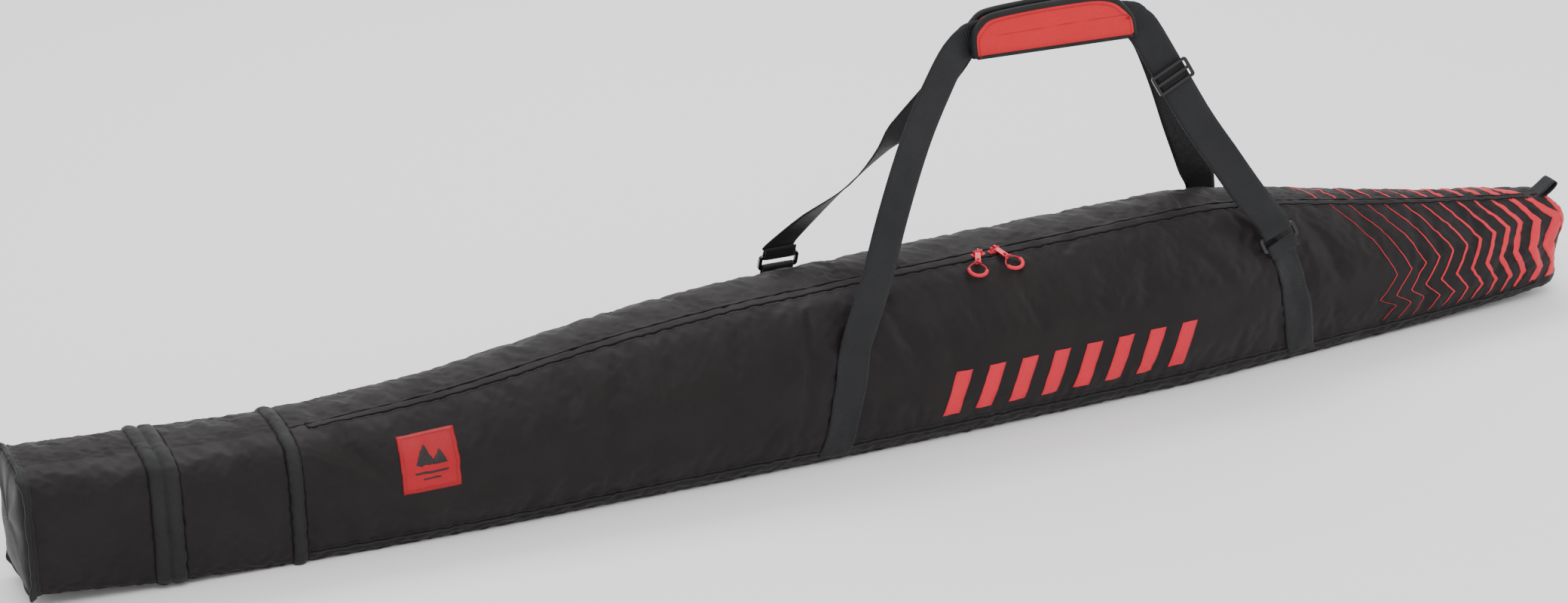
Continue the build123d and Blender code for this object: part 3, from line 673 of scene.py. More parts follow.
# ---------------------------------------------------------------- tail end
RIM_X = -0.970
rim = np.array([at(RIM_X, r) for r in AROUND])
middle = rim.mean(0)
DOME = [(0.000, 1.0), (-0.003, 0.995), (-0.0062, 0.97), (-0.0090, 0.90), (-0.0108, 0.78), (-0.0120, 0.6),
        (-0.0126, 0.4), (-0.0128, 0.2), (-0.0129, 0.02)]
rings = []
for shift, scale in DOME:
    ring = middle + (rim - middle) * np.array((1, scale, scale))
    ripple = 0.0012 * np.sin(np.arange(len(rim)) * 0.21) * (1 - scale) * 4
    ring[:, 0] = RIM_X + shift + ripple * scale
    rings.append(ring)
p = np.array(rings)[:, ::-1]
n = normals(p, wrap=True)
if n[4, 10, 0] > 0:
    n = -n
tail = slab("tail_panel", p, n, 0.0015, CLOTH, wrap=True)
dress(tail, "shell_fabric", "tail_end", "tail_end_panel")
outer = []
angles = np.arctan2(rim[:, 2] - middle[2], rim[:, 1] - middle[1])
for share in (0.0, 0.35, 0.7, 1.0):
    ring = []
    for point, angle in zip(rim, angles):
        ears = sum(math.exp(-(math.remainder(angle - corner, 2 * math.pi) / 0.10) ** 2)
                   for corner in (0.92, -2.25, 2.2, -0.95))
        stand = (0.0055 + 0.0045 * ears + 0.0008 * math.sin(angle * 9)) * share
        out = np.array((0, point[1] - middle[1], point[2] - middle[2]))
        out /= np.linalg.norm(out)
        ring.append(point + out * (0.0008 + stand * 0.55) + np.array((-0.0010 - stand * 0.95, 0, 0)))
    outer.append(ring)
p = np.array(outer)
n = normals(p, wrap=True)
flange = slab("tail_binding", p, n, 0.0019, [M["binding"]], wrap=True)
CUFF_X = (-0.9745, -0.9715, -0.9690, -0.9660)
cuff = slab("tail_cuff", np.array([[at(x, r, 0.0011) for r in AROUND] for x in CUFF_X]),
            np.array([[outward(x, r) for r in AROUND] for x in CUFF_X]), 0.0022, [M["binding"]], wrap=True)
dress(flange, "binding", "tail_end", "tail_end_binding")
dress(cuff, "binding", "tail_end")


# ---------------------------------------------------------------- ribbons and stitches
def ribbon(name, rows, thick, mats, times=2):
    """Webbing through rows of points across its width, centred on them."""
    p = np.array(rows, float)
    for _ in range(times):
        p = finer(p)
    n = normals(p)
    crown = np.array([1 - abs(2 * k / (p.shape[1] - 1) - 1) ** 6 for k in range(p.shape[1])])
    top = p + n * (thick * (0.32 + 0.18 * crown))[None, :, None]
    depth = (thick * (0.64 + 0.36 * crown))[None, :, None]
    return slab(name, top, n, depth, mats)


ACROSS = np.linspace(-0.020, 0.020, 9)


def on_bag(line, lift, widths=ACROSS):
    """Rows of a webbing band that lies on the bag, from (x in mm, k) points of its middle."""
    return [[at(x * 0.001 + w, row_of(k), lift) for w in widths] for x, k in line]


def in_air(line, widths=ACROSS):
    """Rows of free webbing from (point in mm, width direction)."""
    spots = [Vector(p) * 0.001 for p, _ in line]
    rows = []
    for i, spot in enumerate(spots):
        along = (spots[min(i + 1, len(spots) - 1)] - spots[max(i - 1, 0)]).normalized()
        wide = Vector(line[i][1])
        wide = (wide - along * wide.dot(along)).normalized()
        rows.append([np.array(spot + wide * w) for w in widths])
    return rows


def stitches(name, line, out_dirs, mats, pitch=0.0042, size=(0.0028, 0.0008, 0.0006)):
    """Row of thread stitches along a line of points, each a small rounded bar."""
    line = np.array(line, float)
    steps_ = np.linalg.norm(np.diff(line, axis=0), axis=1)
    total = np.concatenate([[0], np.cumsum(steps_)])
    verts, faces = [], []
    number = max(2, int(total[-1] / pitch))
    for s in range(number):
        centre = (s + 0.5) * total[-1] / number
        here = np.array([np.interp(centre, total, line[:, c]) for c in range(3)])
        there = np.array([np.interp(centre + 0.001, total, line[:, c]) for c in range(3)])
        t = there - here
        if np.linalg.norm(t) < 1e-9:
            continue
        t /= np.linalg.norm(t)
        n_ = np.array([np.interp(centre, total, out_dirs[:, c]) for c in range(3)])
        n_ /= np.linalg.norm(n_)
        b = np.cross(t, n_)
        first = len(verts)
        for a, w, h in ((-1, 0.6, 0), (-0.55, 1, 1), (0.55, 1, 1), (1, 0.6, 0)):
            for side in (-1, 1):
                verts.append(here + t * a * size[0] / 2 + b * side * w * size[1] / 2 + n_ * h * size[2])
        for k in range(3):
            q = first + 2 * k
            faces.append((q, q + 1, q + 3, q + 2))
    return add(name, verts, faces, [(v[0], v[2]) for v in verts], None, mats)


def bag_stitches(name, pairs, mats, lift=0.0003, **kw):
    """Stitches along (x in metres, row) points of the fabric."""
    points = np.array([at(x, r, lift) for x, r in pairs])
    outs = np.array([outward(x, r) for x, r in pairs])
    dress(stitches(name, points, outs, mats, **kw), "binding", "bag")


FRONT_STRAP = [((-19.0, -92.0, 168.0), (1, 0, 0)), ((4.0, -84.0, 222.0), (0.97, 0, -0.2)),
               ((26.0, -70.0, 275.0), (0.95, 0, -0.3)), ((54.0, -54.0, 336.0), (0.88, 0, -0.4)),
               ((82.0, -36.0, 381.0), (0.85, 0, -0.5)), ((112.0, -19.0, 420.0), (0.8, 0, -0.6)),
               ((136.0, -7.0, 447.0), (0.65, 0, -0.75)), ((155.0, -1.8, 459.0), (0.3, 0, -1)),
               ((170.0, -1.8, 463.0), (0.1, 0, -1)), ((267.0, -1.8, 467.0), (0, 0, -1)),
               ((362.0, -1.8, 457.0), (-0.3, 0, -1)), ((377.0, -1.8, 449.0), (-0.5, 0, -1)),
               ((392.0, -8.0, 430.0), (-0.86, 0, -0.47)), ((439.0, -38.0, 337.0), (-0.86, 0, -0.47)),
               ((471.0, -54.0, 285.0), (-0.86, 0, -0.5)), ((505.0, -68.0, 232.0), (-0.88, 0, -0.45))]
REAR_STRAP = [((-12.0, 66.0, 245.0), (0.7, 0.55, -0.4)),
              ((34.0, 50.0, 286.0), (0.55, 0.8, -0.2)), ((70.0, 37.0, 328.0), (0.6, 0.6, -0.4)),
              ((88.0, 30.0, 352.0), (0.72, 0.3, -0.6)), ((136.0, 10.0, 418.0), (0.72, 0.3, -0.6)),
              ((147.0, 5.0, 445.0), (0.6, 0, -0.8)), ((158.0, 1.8, 459.0), (0.3, 0, -1)),
              ((172.0, 1.8, 463.0), (0.1, 0, -1)),
              ((267.0, 1.8, 467.0), (0, 0, -1)), ((362.0, 1.8, 457.0), (-0.3, 0, -1)),
              ((377.0, 1.8, 449.0), (-0.5, 0, -1)),
              ((398.0, 8.0, 425.0), (-0.7, 0, -0.6)), ((428.0, 18.0, 366.0), (-0.88, 0, -0.45)),
              ((458.0, 36.0, 305.0), (-0.9, 0, -0.4)), ((488.0, 56.0, 250.0), (-0.92, 0, -0.35)),
              ((506.0, 69.5, 220.0), (-0.95, 0, -0.2)), ((522.0, 79.6, 196.0), (-1, 0, -0.1)),
              ((525.0, 80.2, 173.0), (-1, 0, 0))]


def ring_place(centre, along, pull, shift=0.0):
    """Matrix of a ring, as in the CAD: x along its long bars, y towards the strap."""
    x_dir = Vector(along).normalized()
    y_dir = Vector(pull)
    y_dir = (y_dir - x_dir * y_dir.dot(x_dir)).normalized()
    z_dir = x_dir.cross(y_dir)
    place = Matrix((x_dir, y_dir, z_dir)).transposed().to_4x4()
    place.translation = Vector(centre) + y_dir * shift
    return place


HINGE = ((-47.0, 80.0, 184.0), (526.0, 80.0, 176.0))
FRONT_RING = ring_place((541.0, -78.0, 176.0), (0.92, 0, 0.39), (-0.50, 0.20, 0.84))
REAR_RING = ring_place(HINGE[0], Vector(HINGE[1]) - Vector(HINGE[0]), (0.10, -0.29, 0.95), 8.0)


def ring_rows(place, points, sense=1):
    """Rows of webbing at a ring, from its own (y, z) in mm; sense -1 runs the width backwards."""
    return [[np.array(place @ Vector((sense * w * 1000, y, z))) * 0.001 for w in ACROSS * 0.97]
            for y, z in points]


def around(bar, toward, reach_, far, side):
    """Fold of webbing round a ring's bar: down one side, round the bar, back up the other."""
    r = 3.1
    pts = [(bar + toward * (reach_ + 8), side * 1.0), (bar + toward * reach_, side * 2.4),
           (bar + toward * 2.5, side * r)]
    pts += [(bar - toward * r * math.sin(a), side * r * math.cos(a))
            for a in (math.radians(10), math.radians(50), math.radians(90), math.radians(130),
                      math.radians(170))]
    pts += [(bar + toward * 2.5, -side * r), (bar + toward * far, -side * 2.2)]
    return pts


# front left band and strap over to the front ring, one length of webbing
lead = on_bag([(-50.5, -2.7), (-48, -3), (-44.5, -3.5), (-41, -4), (-38, -4.5), (-35, -5), (-32, -5.5),
               (-29, -6), (-26.5, -6.4)], 0.0010)
top_fold = around(8.0, 1, 9.0, 14.0, 1)
front_rows = lead + in_air(FRONT_STRAP) + ring_rows(FRONT_RING, top_fold, -1)
strap_front = ribbon("strap_front", front_rows, 0.0017, [M["webbing"]])
dress(strap_front, "webbing", None, "band_front_left", "strap_front_left", "strap_front_top",
      "strap_front_right")
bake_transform(strap_front)

# the strap's second layer, from the adjuster back to the ring
upper_rows = in_air(FRONT_STRAP[12:])
drops = (0.0024, 0.0030, 0.0030, 0.0026)
double_rows = [[q - m * d for q, m in zip(row, dirs)]
               for row, dirs, d in zip(upper_rows, normals(np.array(upper_rows)), drops)]
double = ribbon("strap_front_double", double_rows, 0.0016, [M["webbing"]], times=3)
dress(double, "webbing")
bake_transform(double)

# front right band, folded round the ring's lower bar
low_fold = around(-8.0, -1, 8.0, 13.0, -1)
rows = on_bag([(588.5, -2.7), (586, -3), (582, -3.5), (578, -4), (574.5, -4.5), (571, -5), (566, -5.5),
               (561, -6), (555.5, -6.5), (551.5, -6.85)], 0.0010)
band_right = ribbon("band_front_right_web", rows + ring_rows(FRONT_RING, low_fold[1:]), 0.0017,
                    [M["webbing"]])
dress(band_right, "webbing", "bag", "band_front_right", "keeper_front_right")

# rear left band with its keeper, rear right band up to the pivot
rows = on_bag([(-52.5, 2.7), (-52, 3), (-51, 3.5), (-50, 4), (-49.5, 4.5), (-49, 5), (-48.5, 5.5), (-48, 6),
               (-47.5, 6.5), (-47, 7)], 0.0010)
keeper_rows = ring_rows(REAR_RING, around(-8.0, -1, 8.0, 13.0, 1)[1:])
band_rear_left = ribbon("band_rear_left_web", rows + keeper_rows, 0.0017, [M["webbing"]])
dress(band_rear_left, "webbing", "bag", "band_rear_left", "keeper_rear_left")
rows = on_bag([(562.5, 2.7), (560, 3), (556, 3.5), (552, 4), (547.5, 4.5), (543, 5), (539, 5.5), (535, 6),
               (531, 6.5), (527.5, 7)], 0.0010)
rows += [[np.array((0.5260 + w, y, z)) for w in ACROSS] for y, z in ((0.0785, 0.168), (0.0800, 0.1745))]
band_rear_right = ribbon("band_rear_right_web", rows, 0.0017, [M["webbing"]])
dress(band_rear_right, "webbing", "bag", "band_rear_right")

rear_rows = ring_rows(REAR_RING, list(reversed(around(8.0, 1, 9.0, 14.0, -1)))) + in_air(REAR_STRAP)
strap_rear = ribbon("strap_rear_web", rear_rows, 0.0017, [M["webbing"]])
dress(strap_rear, "webbing", "handle", "strap_rear")

for name, points in (
        ("front_left", [(-46, -3.1), (-41, -4), (-35, -5), (-29, -6), (-23.5, -7)]),
        ("front_right", [(584, -3.1), (578, -4), (571, -5), (561, -6), (552, -6.8)]),
        ("rear_left", [(-52, 3.1), (-50, 4), (-49, 5), (-48, 6), (-47, 6.9)]),
        ("rear_right", [(560, 3.1), (552, 4), (543, 5), (535, 6), (527.5, 6.9)])):
    dense = [(np.interp(t, range(len(points)), [q[0] for q in points]) * 0.001,
              row_of(float(np.interp(t, range(len(points)), [q[1] for q in points]))))
             for t in np.linspace(0, len(points) - 1, 41)]
    for side in (-1, 1):
        bag_stitches(f"band_stitch_{name}_{'ab'[side > 0]}", [(x + side * 0.0172, r) for x, r in dense],
                     [M["thread"]], lift=0.0019)

# ---------------------------------------------------------------- seams, zip and its covers
xs = np.arange(-0.672, 0.950, 0.006)
for name, row in (("front", ROW_FRONT_SEAM), ("rear", ROW_REAR_SEAM)):
    welt = tube(f"lower_seam_{name}", [at(x, row, 0.0003) for x in xs], 0.0014, [M["binding"]], sides=6)
    dress(welt, "binding", "bag")
bag_stitches("lower_stitch_front", [(x, ROW_FRONT_SEAM - 1.0) for x in xs], [M["thread"]])
bag_stitches("hinge_stitch", [(x, ROW_HINGE - 0.8) for x in xs], [M["thread"]])
bag_stitches("zip_stitch", [(x, 1.15) for x in xs[3:]], [M["thread"]])


def edge_strip(name, x_low, x_high, rows, lift, mats, thick=0.0011):
    """Narrow strip of folded fabric on the bag between two rows."""
    xs_ = np.arange(x_low, x_high + 1e-6, 0.005)
    across = np.linspace(rows[0], rows[1], 5)
    p = np.array([[at(x, r, lift) for r in across] for x in xs_])
    n = np.array([[outward(x, r) for r in across] for x in xs_])
    return slab(name, p, n, thick, mats)


welt = edge_strip("zip_cover_front", -0.655, 0.948, (0.02, 0.85), 0.0011, [M["shell"]])
dress(welt, "shell_fabric", "bag")
TOP = ROWS - 1
for name, a, b, where in (("tail", -0.655, 0.060, TAIL_FOLD), ("middle", 0.0608, 0.4392, None),
                          ("tip", 0.4400, 0.948, TIP_FOLD)):
    cover = edge_strip(f"zip_cover_{name}", a, b, (TOP - 0.80, TOP - 0.02), 0.0010, [M["shell"]])
    teeth = edge_strip(f"zip_teeth_{name}", a, b, (TOP - 0.35, TOP - 0.02), -0.0020, [M["zip"]], 0.0016)
    for piece, kind in ((cover, "shell_fabric"), (teeth, "zip_black")):
        dress(piece, kind, None if where else "flap")
        if where:
            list(where)
            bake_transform(piece)
    if name == "middle":
        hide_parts("zip_coil_lid", "zip_tape_lid")


def coil(name, x_low, x_high, row, down):
    """Teeth of the zip's coil along one edge, just under the fabric."""
    verts, faces = [], []
    for x in np.arange(x_low, x_high, 0.0026):
        p, q = at(x, row, -down), at(x + 0.0005, row, -down)
        t = (q - p) / np.linalg.norm(q - p)
        n_ = outward(x, row)
        b = np.cross(t, n_)
        first = len(verts)
        for a in (-0.00055, 0.00055):
            for w, h in ((-0.0004, 0.0007), (0.0026, 0.0007), (0.0026, -0.0007), (-0.0004, -0.0007)):
                verts.append(p + t * a + b * w + n_ * h)
        faces += [tuple(first + k for k in range(4)), tuple(first + k for k in (7, 6, 5, 4))]
        faces += [tuple(first + q for q in (k, 4 + k, 4 + (k + 1) % 4, (k + 1) % 4)) for k in range(4)]
    return add(name, verts, faces, [(v[0], v[1]) for v in verts], None, mats=[M["zip"]], smooth=False)


teeth_front = coil("zip_teeth_front", -0.640, 0.945, 0.0, 0.0026)
dress(teeth_front, "zip_black", "bag", "zip_tape_front", "zip_coil_front")
tape = edge_strip("zip_tape_under", -0.655, 0.948, (0.0, 1.3), -0.0050, [M["tape"]], 0.0008)
dress(tape, "zip_tape", "bag")

# ---------------------------------------------------------------- zip pulls
def zip_at(x_mm):
    """Point of the straight part of the zip, in mm."""
    return Vector((x_mm, -26.0, 195.418 + (x_mm + 150) * (210.148 - 195.418) / 630))


def slider_place(x_mm):
    """Matrix of a slider, as in the CAD: x along the zip, z out of it."""
    along = (zip_at(x_mm + 5) - zip_at(x_mm - 5)).normalized()
    z_dir = along.cross(Vector((0, 1, 0)))
    place = Matrix((along, z_dir.cross(along), z_dir)).transposed().to_4x4()
    place.translation = zip_at(x_mm)
    return place


def pull_place(x_mm, skew):
    """Matrix of a hanging pull, as in the CAD: x down the pull, turned sideways by skew degrees."""
    base = slider_place(x_mm)
    centre = base @ Vector((0, 1.35 - 4.5, 0.5 + 1.5 + 2.6 + 0.8))
    along = base.col[0].to_3d()
    drop = math.radians(18)
    down = Vector((0, -math.cos(drop), -math.sin(drop)))
    down = Matrix.Rotation(math.radians(skew), 3, down.cross(along)) @ down
    across = (along - down * along.dot(down)).normalized()
    z_dir = down.cross(across)
    place = Matrix((down, z_dir.cross(down), z_dir)).transposed().to_4x4()
    place.translation = centre
    return place


CORD = [(30.4, -10.5, -2.4), (26.9, -10.5, -2.4), (23.0, -6.6, -1.0), (21.4, -3.2, 0.8), (19.0, -0.9, 1.9),
        (16.6, 0.0, 2.1), (15.2, 0.0, 1.2), (15.0, 0.0, 0.0), (15.2, 0.0, -1.2), (16.6, 0.0, -2.1),
        (19.0, 0.9, -1.9), (21.4, 3.2, -0.8), (23.0, 6.6, -1.4), (26.9, 10.5, -2.4), (30.4, 10.5, -2.4)]
for side, x_mm, skew in (("left", 161.0, -24.0), ("right", 183.0, 24.0)):
    place = pull_place(x_mm, skew)
    points = [place @ Vector(q) * 0.001 for q in CORD]
    curve = bpy.data.curves.new(f"cord_{side}", "CURVE")
    curve.dimensions = "3D"
    curve.bevel_depth = 0.0010
    curve.bevel_resolution = 3
    curve.resolution_u = 8
    spline = curve.splines.new("NURBS")
    spline.points.add(len(points) - 1)
    for target, q in zip(spline.points, points):
        target.co = (*q, 1)
    spline.order_u = 3
    spline.use_endpoint_u = True
    curve.materials.append(M["cord"])
    cord = bpy.data.objects.new(f"cord_{side}", curve)
    bpy.context.collection.objects.link(cord)
    plain = curve.copy()
    plain.bevel_depth = 0
    probe = bpy.data.objects.new("probe", plain)
    bpy.context.collection.objects.link(probe)
    wire = probe.evaluated_get(bpy.context.evaluated_depsgraph_get()).to_mesh()
    line = [v.co.copy() for v in wire.vertices]
    length = sum((b - a).length for a, b in zip(line, line[1:]))
    bpy.data.objects.remove(probe)
    print("cord", side, round(length, 4))
    dress(cord, "cord_red", f"pull_{side}", f"pull_cord_{side}")
    tuple(points[0])
    knot = [place @ Vector((20.6 + 1.1 * math.sin(2 * t), 3.4 * math.cos(t), 0.4 + 1.6 * math.sin(t))) * 0.001
            for t in np.linspace(0, 2 * math.pi, 25)]
    wrap_turn = tube(f"cord_knot_{side}", [tuple(q) for q in knot], 0.0011, [M["cord"]], sides=8)
    dress(wrap_turn, "cord_red", f"pull_{side}")

# ---------------------------------------------------------------- print, badge
def print_strip(name, centre, width_at, rows, where=None):
    """Printed strip on the fabric: centre(row share) is its x, width_at its width, rows its ends."""
    p = []
    for s in np.linspace(0, 1, 61):
        row = rows[0] + (rows[1] - rows[0]) * s
        w = width_at(s)
        p.append([at(centre(s) + w * (q - 0.5), row, 0.00035) for q in np.linspace(0, 1, 5)])
    p = np.array(p)
    n = normals(p)
    if np.sum(n[30, 2] * (p[30, 2] - np.array((p[30, 2][0], 0, 0.07)))) < 0:
        p = p[:, ::-1]
        n = normals(p)
    obj = slab(name, p, n, 0.0003, [M["print"]])
    dress(obj, "wrap_red", None if where else "bag")
    if where:
        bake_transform(obj)


STRIPES = 12
for i in range(STRIPES):
    e = min(1.0, i / 9)
    top_x = 0.644 + 0.0272 * i
    elbows = [(0.0, 0.0), (0.30 - 0.12 * e, 0.042 - 0.026 * e), (0.62 - 0.32 * e, 0.077 - 0.049 * e),
              (0.82 - 0.22 * e, 0.054 - 0.038 * e), (0.88 - 0.03 * e, 0.080 - 0.047 * e),
              (1.0, 0.065 - 0.042 * e)]
    full = 0.0010 * 17 ** (i / (STRIPES - 1))

    def middle_x(s, top_x=top_x, elbows=elbows):
        return top_x + float(np.interp(s, [q[0] for q in elbows], [q[1] for q in elbows]))

    def width(s, full=full, e=e, i=i):
        taper = float(np.interp(s, (0, 0.25, 0.55, 0.85, 1.0), (0.65, 0.85, 1.1, 0.9, 0.35 + 0.5 * (i > 9))))
        return max(0.0008, full * taper)

    print_strip(f"stripe_{i}", middle_x, width, (0.95, ROW_FRONT_SEAM - 1.4))
    lid_x = top_x - 0.012
    lid_w = max(0.0026, full * 1.05)
    print_strip(f"stripe_lid_{i}", lambda s, lid_x=lid_x: lid_x - 0.024 * s, lambda s, lid_w=lid_w: lid_w,
                (TOP - 1.05, ROW_HINGE + 1.5), where=TIP_FOLD)
print_strip("stripe_nose", lambda s: 0.9830, lambda s: 0.022 * (1 - 0.75 * s ** 1.5), (1.0, 20.0))
for i in range(8):
    left = 0.112 + 0.043 * i
    print_strip(f"bar_{i}", lambda s, left=left: left - 0.016 * s, lambda s: 0.021,
                (row_of(-5.05), row_of(-3.55)))


def patch(name, corners, lift, thick, mats, n=14):
    """Sewn patch between four corners in (x, row), with softened edges."""
    p, m = [], []
    for u in np.linspace(0, 1, n):
        line, dirs = [], []
        for v in np.linspace(0, 1, n):
            a = [corners[0][c] * (1 - u) * (1 - v) + corners[1][c] * u * (1 - v)
                 + corners[2][c] * u * v + corners[3][c] * (1 - u) * v for c in (0, 1)]
            soft = min(u, v, 1 - u, 1 - v)
            line.append(at(a[0], a[1], lift - 0.0007 * math.exp(-soft * 30)))
            dirs.append(outward(a[0], a[1]))
        p.append(line)
        m.append(dirs)
    p, m = np.array(p), np.array(m)
    if np.sum(normals(p)[n // 2, n // 2] * m[n // 2, n // 2]) < 0:
        p, m = p[::-1], m[::-1]
    return slab(name, p, m, thick, mats)


BX, BR = (-0.567, -0.502), (row_of(-7.72), row_of(-5.12))


def badge_xy(u, v):
    """Place on the badge: u along it, v up it."""
    return BX[0] + (BX[1] - BX[0]) * u, BR[1] + (BR[0] - BR[1]) * v


badge = patch("badge_patch", [badge_xy(0, 0), badge_xy(1, 0), badge_xy(1, 1), badge_xy(0, 1)], 0.0018, 0.0016,
              [M["badge"]])
dress(badge, "badge_red", "bag", "badge")
border = [badge_xy(u, v) for u, v in ((0.06, 0.06), (0.94, 0.06), (0.94, 0.94), (0.06, 0.94), (0.06, 0.06))]
dense = [(a[0] + (b[0] - a[0]) * t, a[1] + (b[1] - a[1]) * t) for a, b in zip(border, border[1:])
         for t in np.linspace(0, 1, 12, endpoint=False)]
bag_stitches("badge_stitch", dense + dense[:1], [M["red_thread"]], lift=0.0018, pitch=0.0032)
for name, shape in (("peak_a", ((0.20, 0.42), (0.62, 0.42), (0.42, 0.78))),
                    ("peak_b", ((0.52, 0.42), (0.82, 0.42), (0.68, 0.66))),
                    ("line_a", ((0.20, 0.30), (0.82, 0.30), (0.82, 0.335))),
                    ("line_b", ((0.34, 0.20), (0.68, 0.20), (0.68, 0.23)))):
    quad = [badge_xy(*q) for q in shape]
    quad.append(quad[2] if name.startswith("peak") else badge_xy(shape[0][0], shape[2][1]))
    mark = patch(f"badge_{name}", quad, 0.0023, 0.0005, [M["ink"]], n=8)
    dress(mark, "badge_red", "bag")

# ---------------------------------------------------------------- padded hand wrap
X0, X1, Z0, Z1 = 0.166, 0.368, 0.441, 0.487
EDGE = [(X0 - 0.002, Z0 + 0.000), (X0 - 0.0044, Z0 + 0.0265), (X0 + 0.004, Z0 + 0.040),
        (X0 + 0.0160, Z1 + 0.0010), (X0 + 0.048, Z1 + 0.0036), (X0 + 0.084, Z1 + 0.0046),
        (X0 + 0.120, Z1 + 0.0046), (X1 - 0.051, Z1 + 0.0034), (X1 - 0.0285, Z1 - 0.0022),
        (X1 - 0.015, Z0 + 0.034), (X1 - 0.0015, Z0 + 0.017), (X1 + 0.0025, Z0 - 0.004)]


def fold_z(x):
    """Height of the wrap's bottom fold, which slopes down to the tip end."""
    return Z0 - 0.004 * (x - X0) / (X1 - X0)


edge_line = finer(finer(np.array(EDGE)))


def leaf(name, y_middle):
    """Quilted leaf: full in the middle, pulled in at its edges."""
    bottom = np.array([(x, fold_z(x) + 0.0012) for x in np.linspace(X1 + 0.001, X0 - 0.001, 22)[1:-1]])
    rim_ = np.concatenate([edge_line, bottom])
    centre = np.array((0.267, 0.466))
    verts, uvs, faces = [], [], []
    steps_ = [0.0, 0.04, 0.1, 0.2, 0.34, 0.5, 0.68, 0.86, 0.985]
    count_ = len(rim_)
    for face in (0, 1):
        for s in steps_:
            fill = 1 - (1 - min(1.0, s * 1.9)) ** 2.6
            for q in rim_:
                spot = q * (1 - s) + (centre + (q - centre) * np.array((0.9, 0.0))) * s
                dimple = 0.00045 * math.sin(spot[0] * 160 + spot[1] * 90) * s
                thick = 0.0030 + (0.0045 * fill + dimple)
                verts.append((spot[0], y_middle + (thick * 0.62 if face else -thick * 0.62), spot[1]))
                uvs.append((spot[0], spot[1]))
    ring_n = len(steps_) * count_
    for face in (0, 1):
        off = face * ring_n
        for s in range(len(steps_) - 1):
            for k in range(count_):
                m = (k + 1) % count_
                low_, high_ = off + s * count_, off + (s + 1) * count_
                q = (low_ + k, low_ + m, high_ + m, high_ + k)
                faces.append(q if face else tuple(reversed(q)))
        inner = [off + (len(steps_) - 1) * count_ + k for k in range(count_)]
        faces.append(tuple(inner) if face else tuple(reversed(inner)))
    for k in range(count_):
        m = (k + 1) % count_
        faces.append((k, m, ring_n + m, ring_n + k))
    return add(name, verts, faces, uvs, None, [M["wrap"]])


LEAF_Y = 0.0082
leaf_front = leaf("wrap_leaf_front", -LEAF_Y)
leaf_rear = leaf("wrap_leaf_rear", LEAF_Y)
for obj, node, body, side in ((leaf_front, "wrap_front_leaf", "wrap_flap", -1),
                              (leaf_rear, "wrap_rear_leaf", "handle", 1)):
    y = side * LEAF_Y
    dress(obj, "wrap_red", body, node)
    binding = tube(node.replace("leaf", "binding"), [(x, y, z) for x, z in edge_line], 0.0042, [M["binding"]],
                   sides=12, flat=0.95, up_dir=(0, 1, 0))
    dress(binding, "binding", body, node.replace("leaf", "edging"))
    hem = [(x, y, fold_z(x) + 0.0006) for x in np.linspace(X0, X1, 30)]
    lower = tube(node.replace("leaf", "hem"), hem, 0.0022, [M["binding"]], sides=8, flat=1.5,
                 up_dir=(0, 1, 0))
    dress(lower, "binding", body)
    inner = np.array([(x, y + side * 0.0044, z) for x, z in edge_line])
    pulled = inner.copy()
    pulled[:, 0] = 0.267 + (inner[:, 0] - 0.267) * 0.955
    pulled[:, 2] = inner[:, 2] - 0.0046 * (inner[:, 2] > 0.470) - 0.001
    st = stitches(node.replace("leaf", "stitch"), pulled,
                  np.tile(np.array((0.0, side, 0.0)), (len(pulled), 1)),
                  [M["red_thread"]], pitch=0.0036)
    dress(st, "wrap_red", body)
turn_rows = [[(x, LEAF_Y * math.cos(a), fold_z(x) - 0.0045 * math.sin(a) - 0.0005)
              for a in np.linspace(0, math.pi, 13)] for x in np.linspace(X0 + 0.004, X1 - 0.004, 24)]
wrap_fold = ribbon("wrap_fold", turn_rows, 0.0014, [M["binding"]], times=1)
dress(wrap_fold, "binding")
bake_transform(wrap_fold)

# ---------------------------------------------------------------- zip end tab and ski strap
loop = [(952, 126.5), (962, 131.0), (972, 137.0), (982, 144.5), (986.5, 146.5), (989.5, 143.5), (986, 138.0),
        (976, 130.5), (966, 125.0)]
rows = [[np.array((x * 0.001, y - 0.004, z * 0.001)) for y in np.linspace(-0.011, 0.011, 7)] for x, z in loop]
tab = ribbon("zip_tab", rows, 0.0018, [M["webbing"]])
dress(tab, "webbing", "bag", "zip_end_tab")
rows = [[np.array((-0.26 + w, y, 0.0068 + 0.0010 * math.sin(y * 60) ** 2)) for w in ACROSS]
        for y in np.linspace(-0.052, 0.052, 15)]
ski = ribbon("ski_tie", rows, 0.0016, [M["webbing"]], times=1)
dress(ski, "webbing", "bag", "ski_strap")

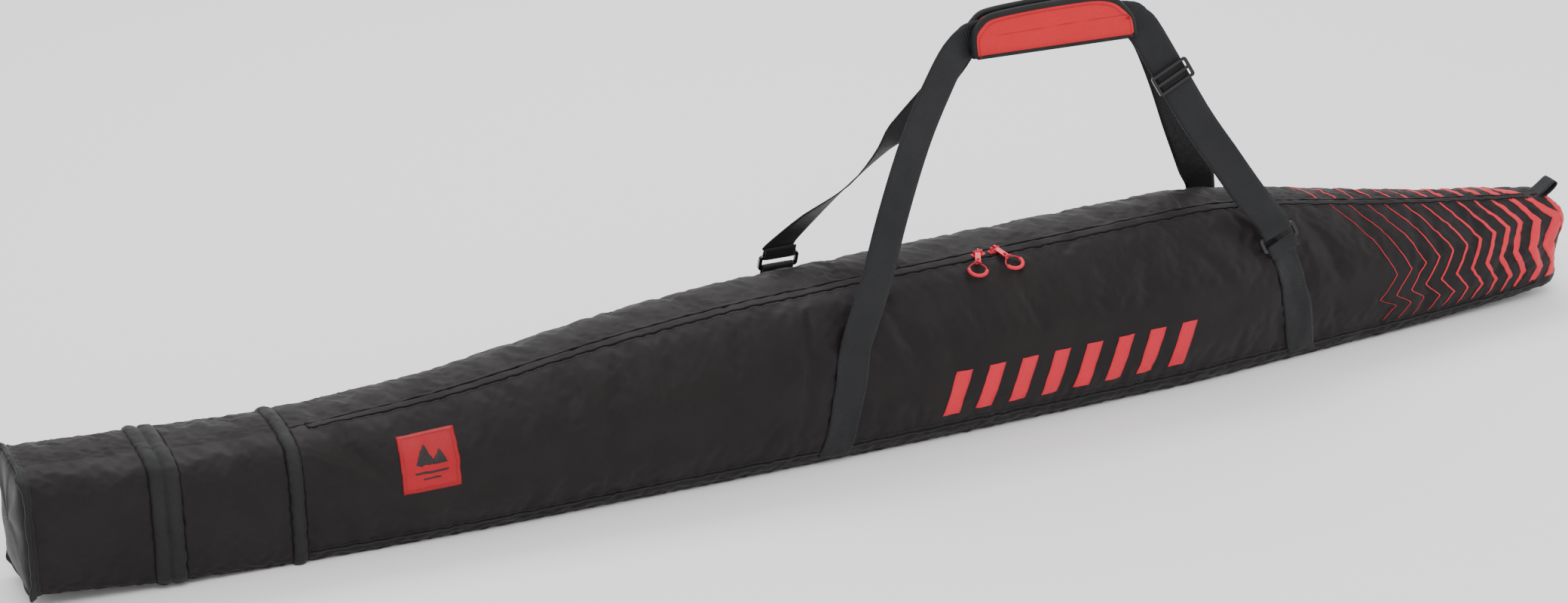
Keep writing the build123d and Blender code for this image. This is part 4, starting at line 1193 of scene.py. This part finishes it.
# ---------------------------------------------------------------- materials of the CAD parts that show
PAINT = {"plastic": ("ring_front_right", "ring_rear_left", "adjuster", "ski_strap_buckle"),
         "loop": ("wrap_hook_strip", "wrap_loop_strip"),
         "enamel": ("zip_slider_left", "zip_slider_right", "pull_tab_left", "pull_tab_right"),
         "grip": ("pull_grip_left", "pull_grip_right")}
for kind, nodes in PAINT.items():
    for obj in bpy.data.objects:
        if obj.type == "MESH" and obj.name.split(".")[0] in nodes:
            for place in obj.material_slots:
                place.material = M[kind]

# ---------------------------------------------------------------- stage and light
floor_mat = bpy.data.materials.new("floor")
floor_mat.use_nodes = True
floor_shader = floor_mat.node_tree.nodes["Principled BSDF"]
floor_shader.inputs["Base Color"].default_value = (0.92, 0.92, 0.92, 1)
floor_shader.inputs["Roughness"].default_value = 0.9
floor = add("floor", [(-9, -9, 0), (9, -9, 0), (9, 12, 0), (-9, 12, 0)], [(0, 1, 2, 3)], None, None,
            [floor_mat])
floor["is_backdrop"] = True
world = bpy.data.worlds.new("world")
bpy.context.scene.world = world
world.use_nodes = True
world.node_tree.nodes["Background"].inputs[0].default_value = (1.0, 1.0, 1.0, 1)
world.node_tree.nodes["Background"].inputs[1].default_value = 1.1


def area(name, spot, target, size_, power, color=(1, 1, 1)):
    """Rectangular lamp at a spot, turned to a target."""
    light = bpy.data.lights.new(name, "AREA")
    light.shape = "RECTANGLE"
    light.size, light.size_y = size_
    light.energy = power
    light.color = color
    obj = bpy.data.objects.new(name, light)
    bpy.context.collection.objects.link(obj)
    obj.matrix_world = (Matrix.Translation(spot)
                        @ (Vector(target) - Vector(spot)).to_track_quat("-Z", "Y").to_matrix().to_4x4())
    obj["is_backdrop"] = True


area("key", (-1.2, -2.2, 3.2), (0, 0, 0.1), (2.6, 1.6), 70)
area("top", (0.3, 1.6, 2.8), (0.1, 0, 0.15), (3.4, 1.2), 60, (0.96, 0.98, 1.0))
area("side", (3.0, -1.2, 1.4), (0.4, 0, 0.15), (1.4, 1.4), 22)


def plain(box):
    """The box as plain lists."""
    return [[float(c) for c in corner] for corner in box]


{"cad": plain(cad_box), "visual": plain(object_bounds())}
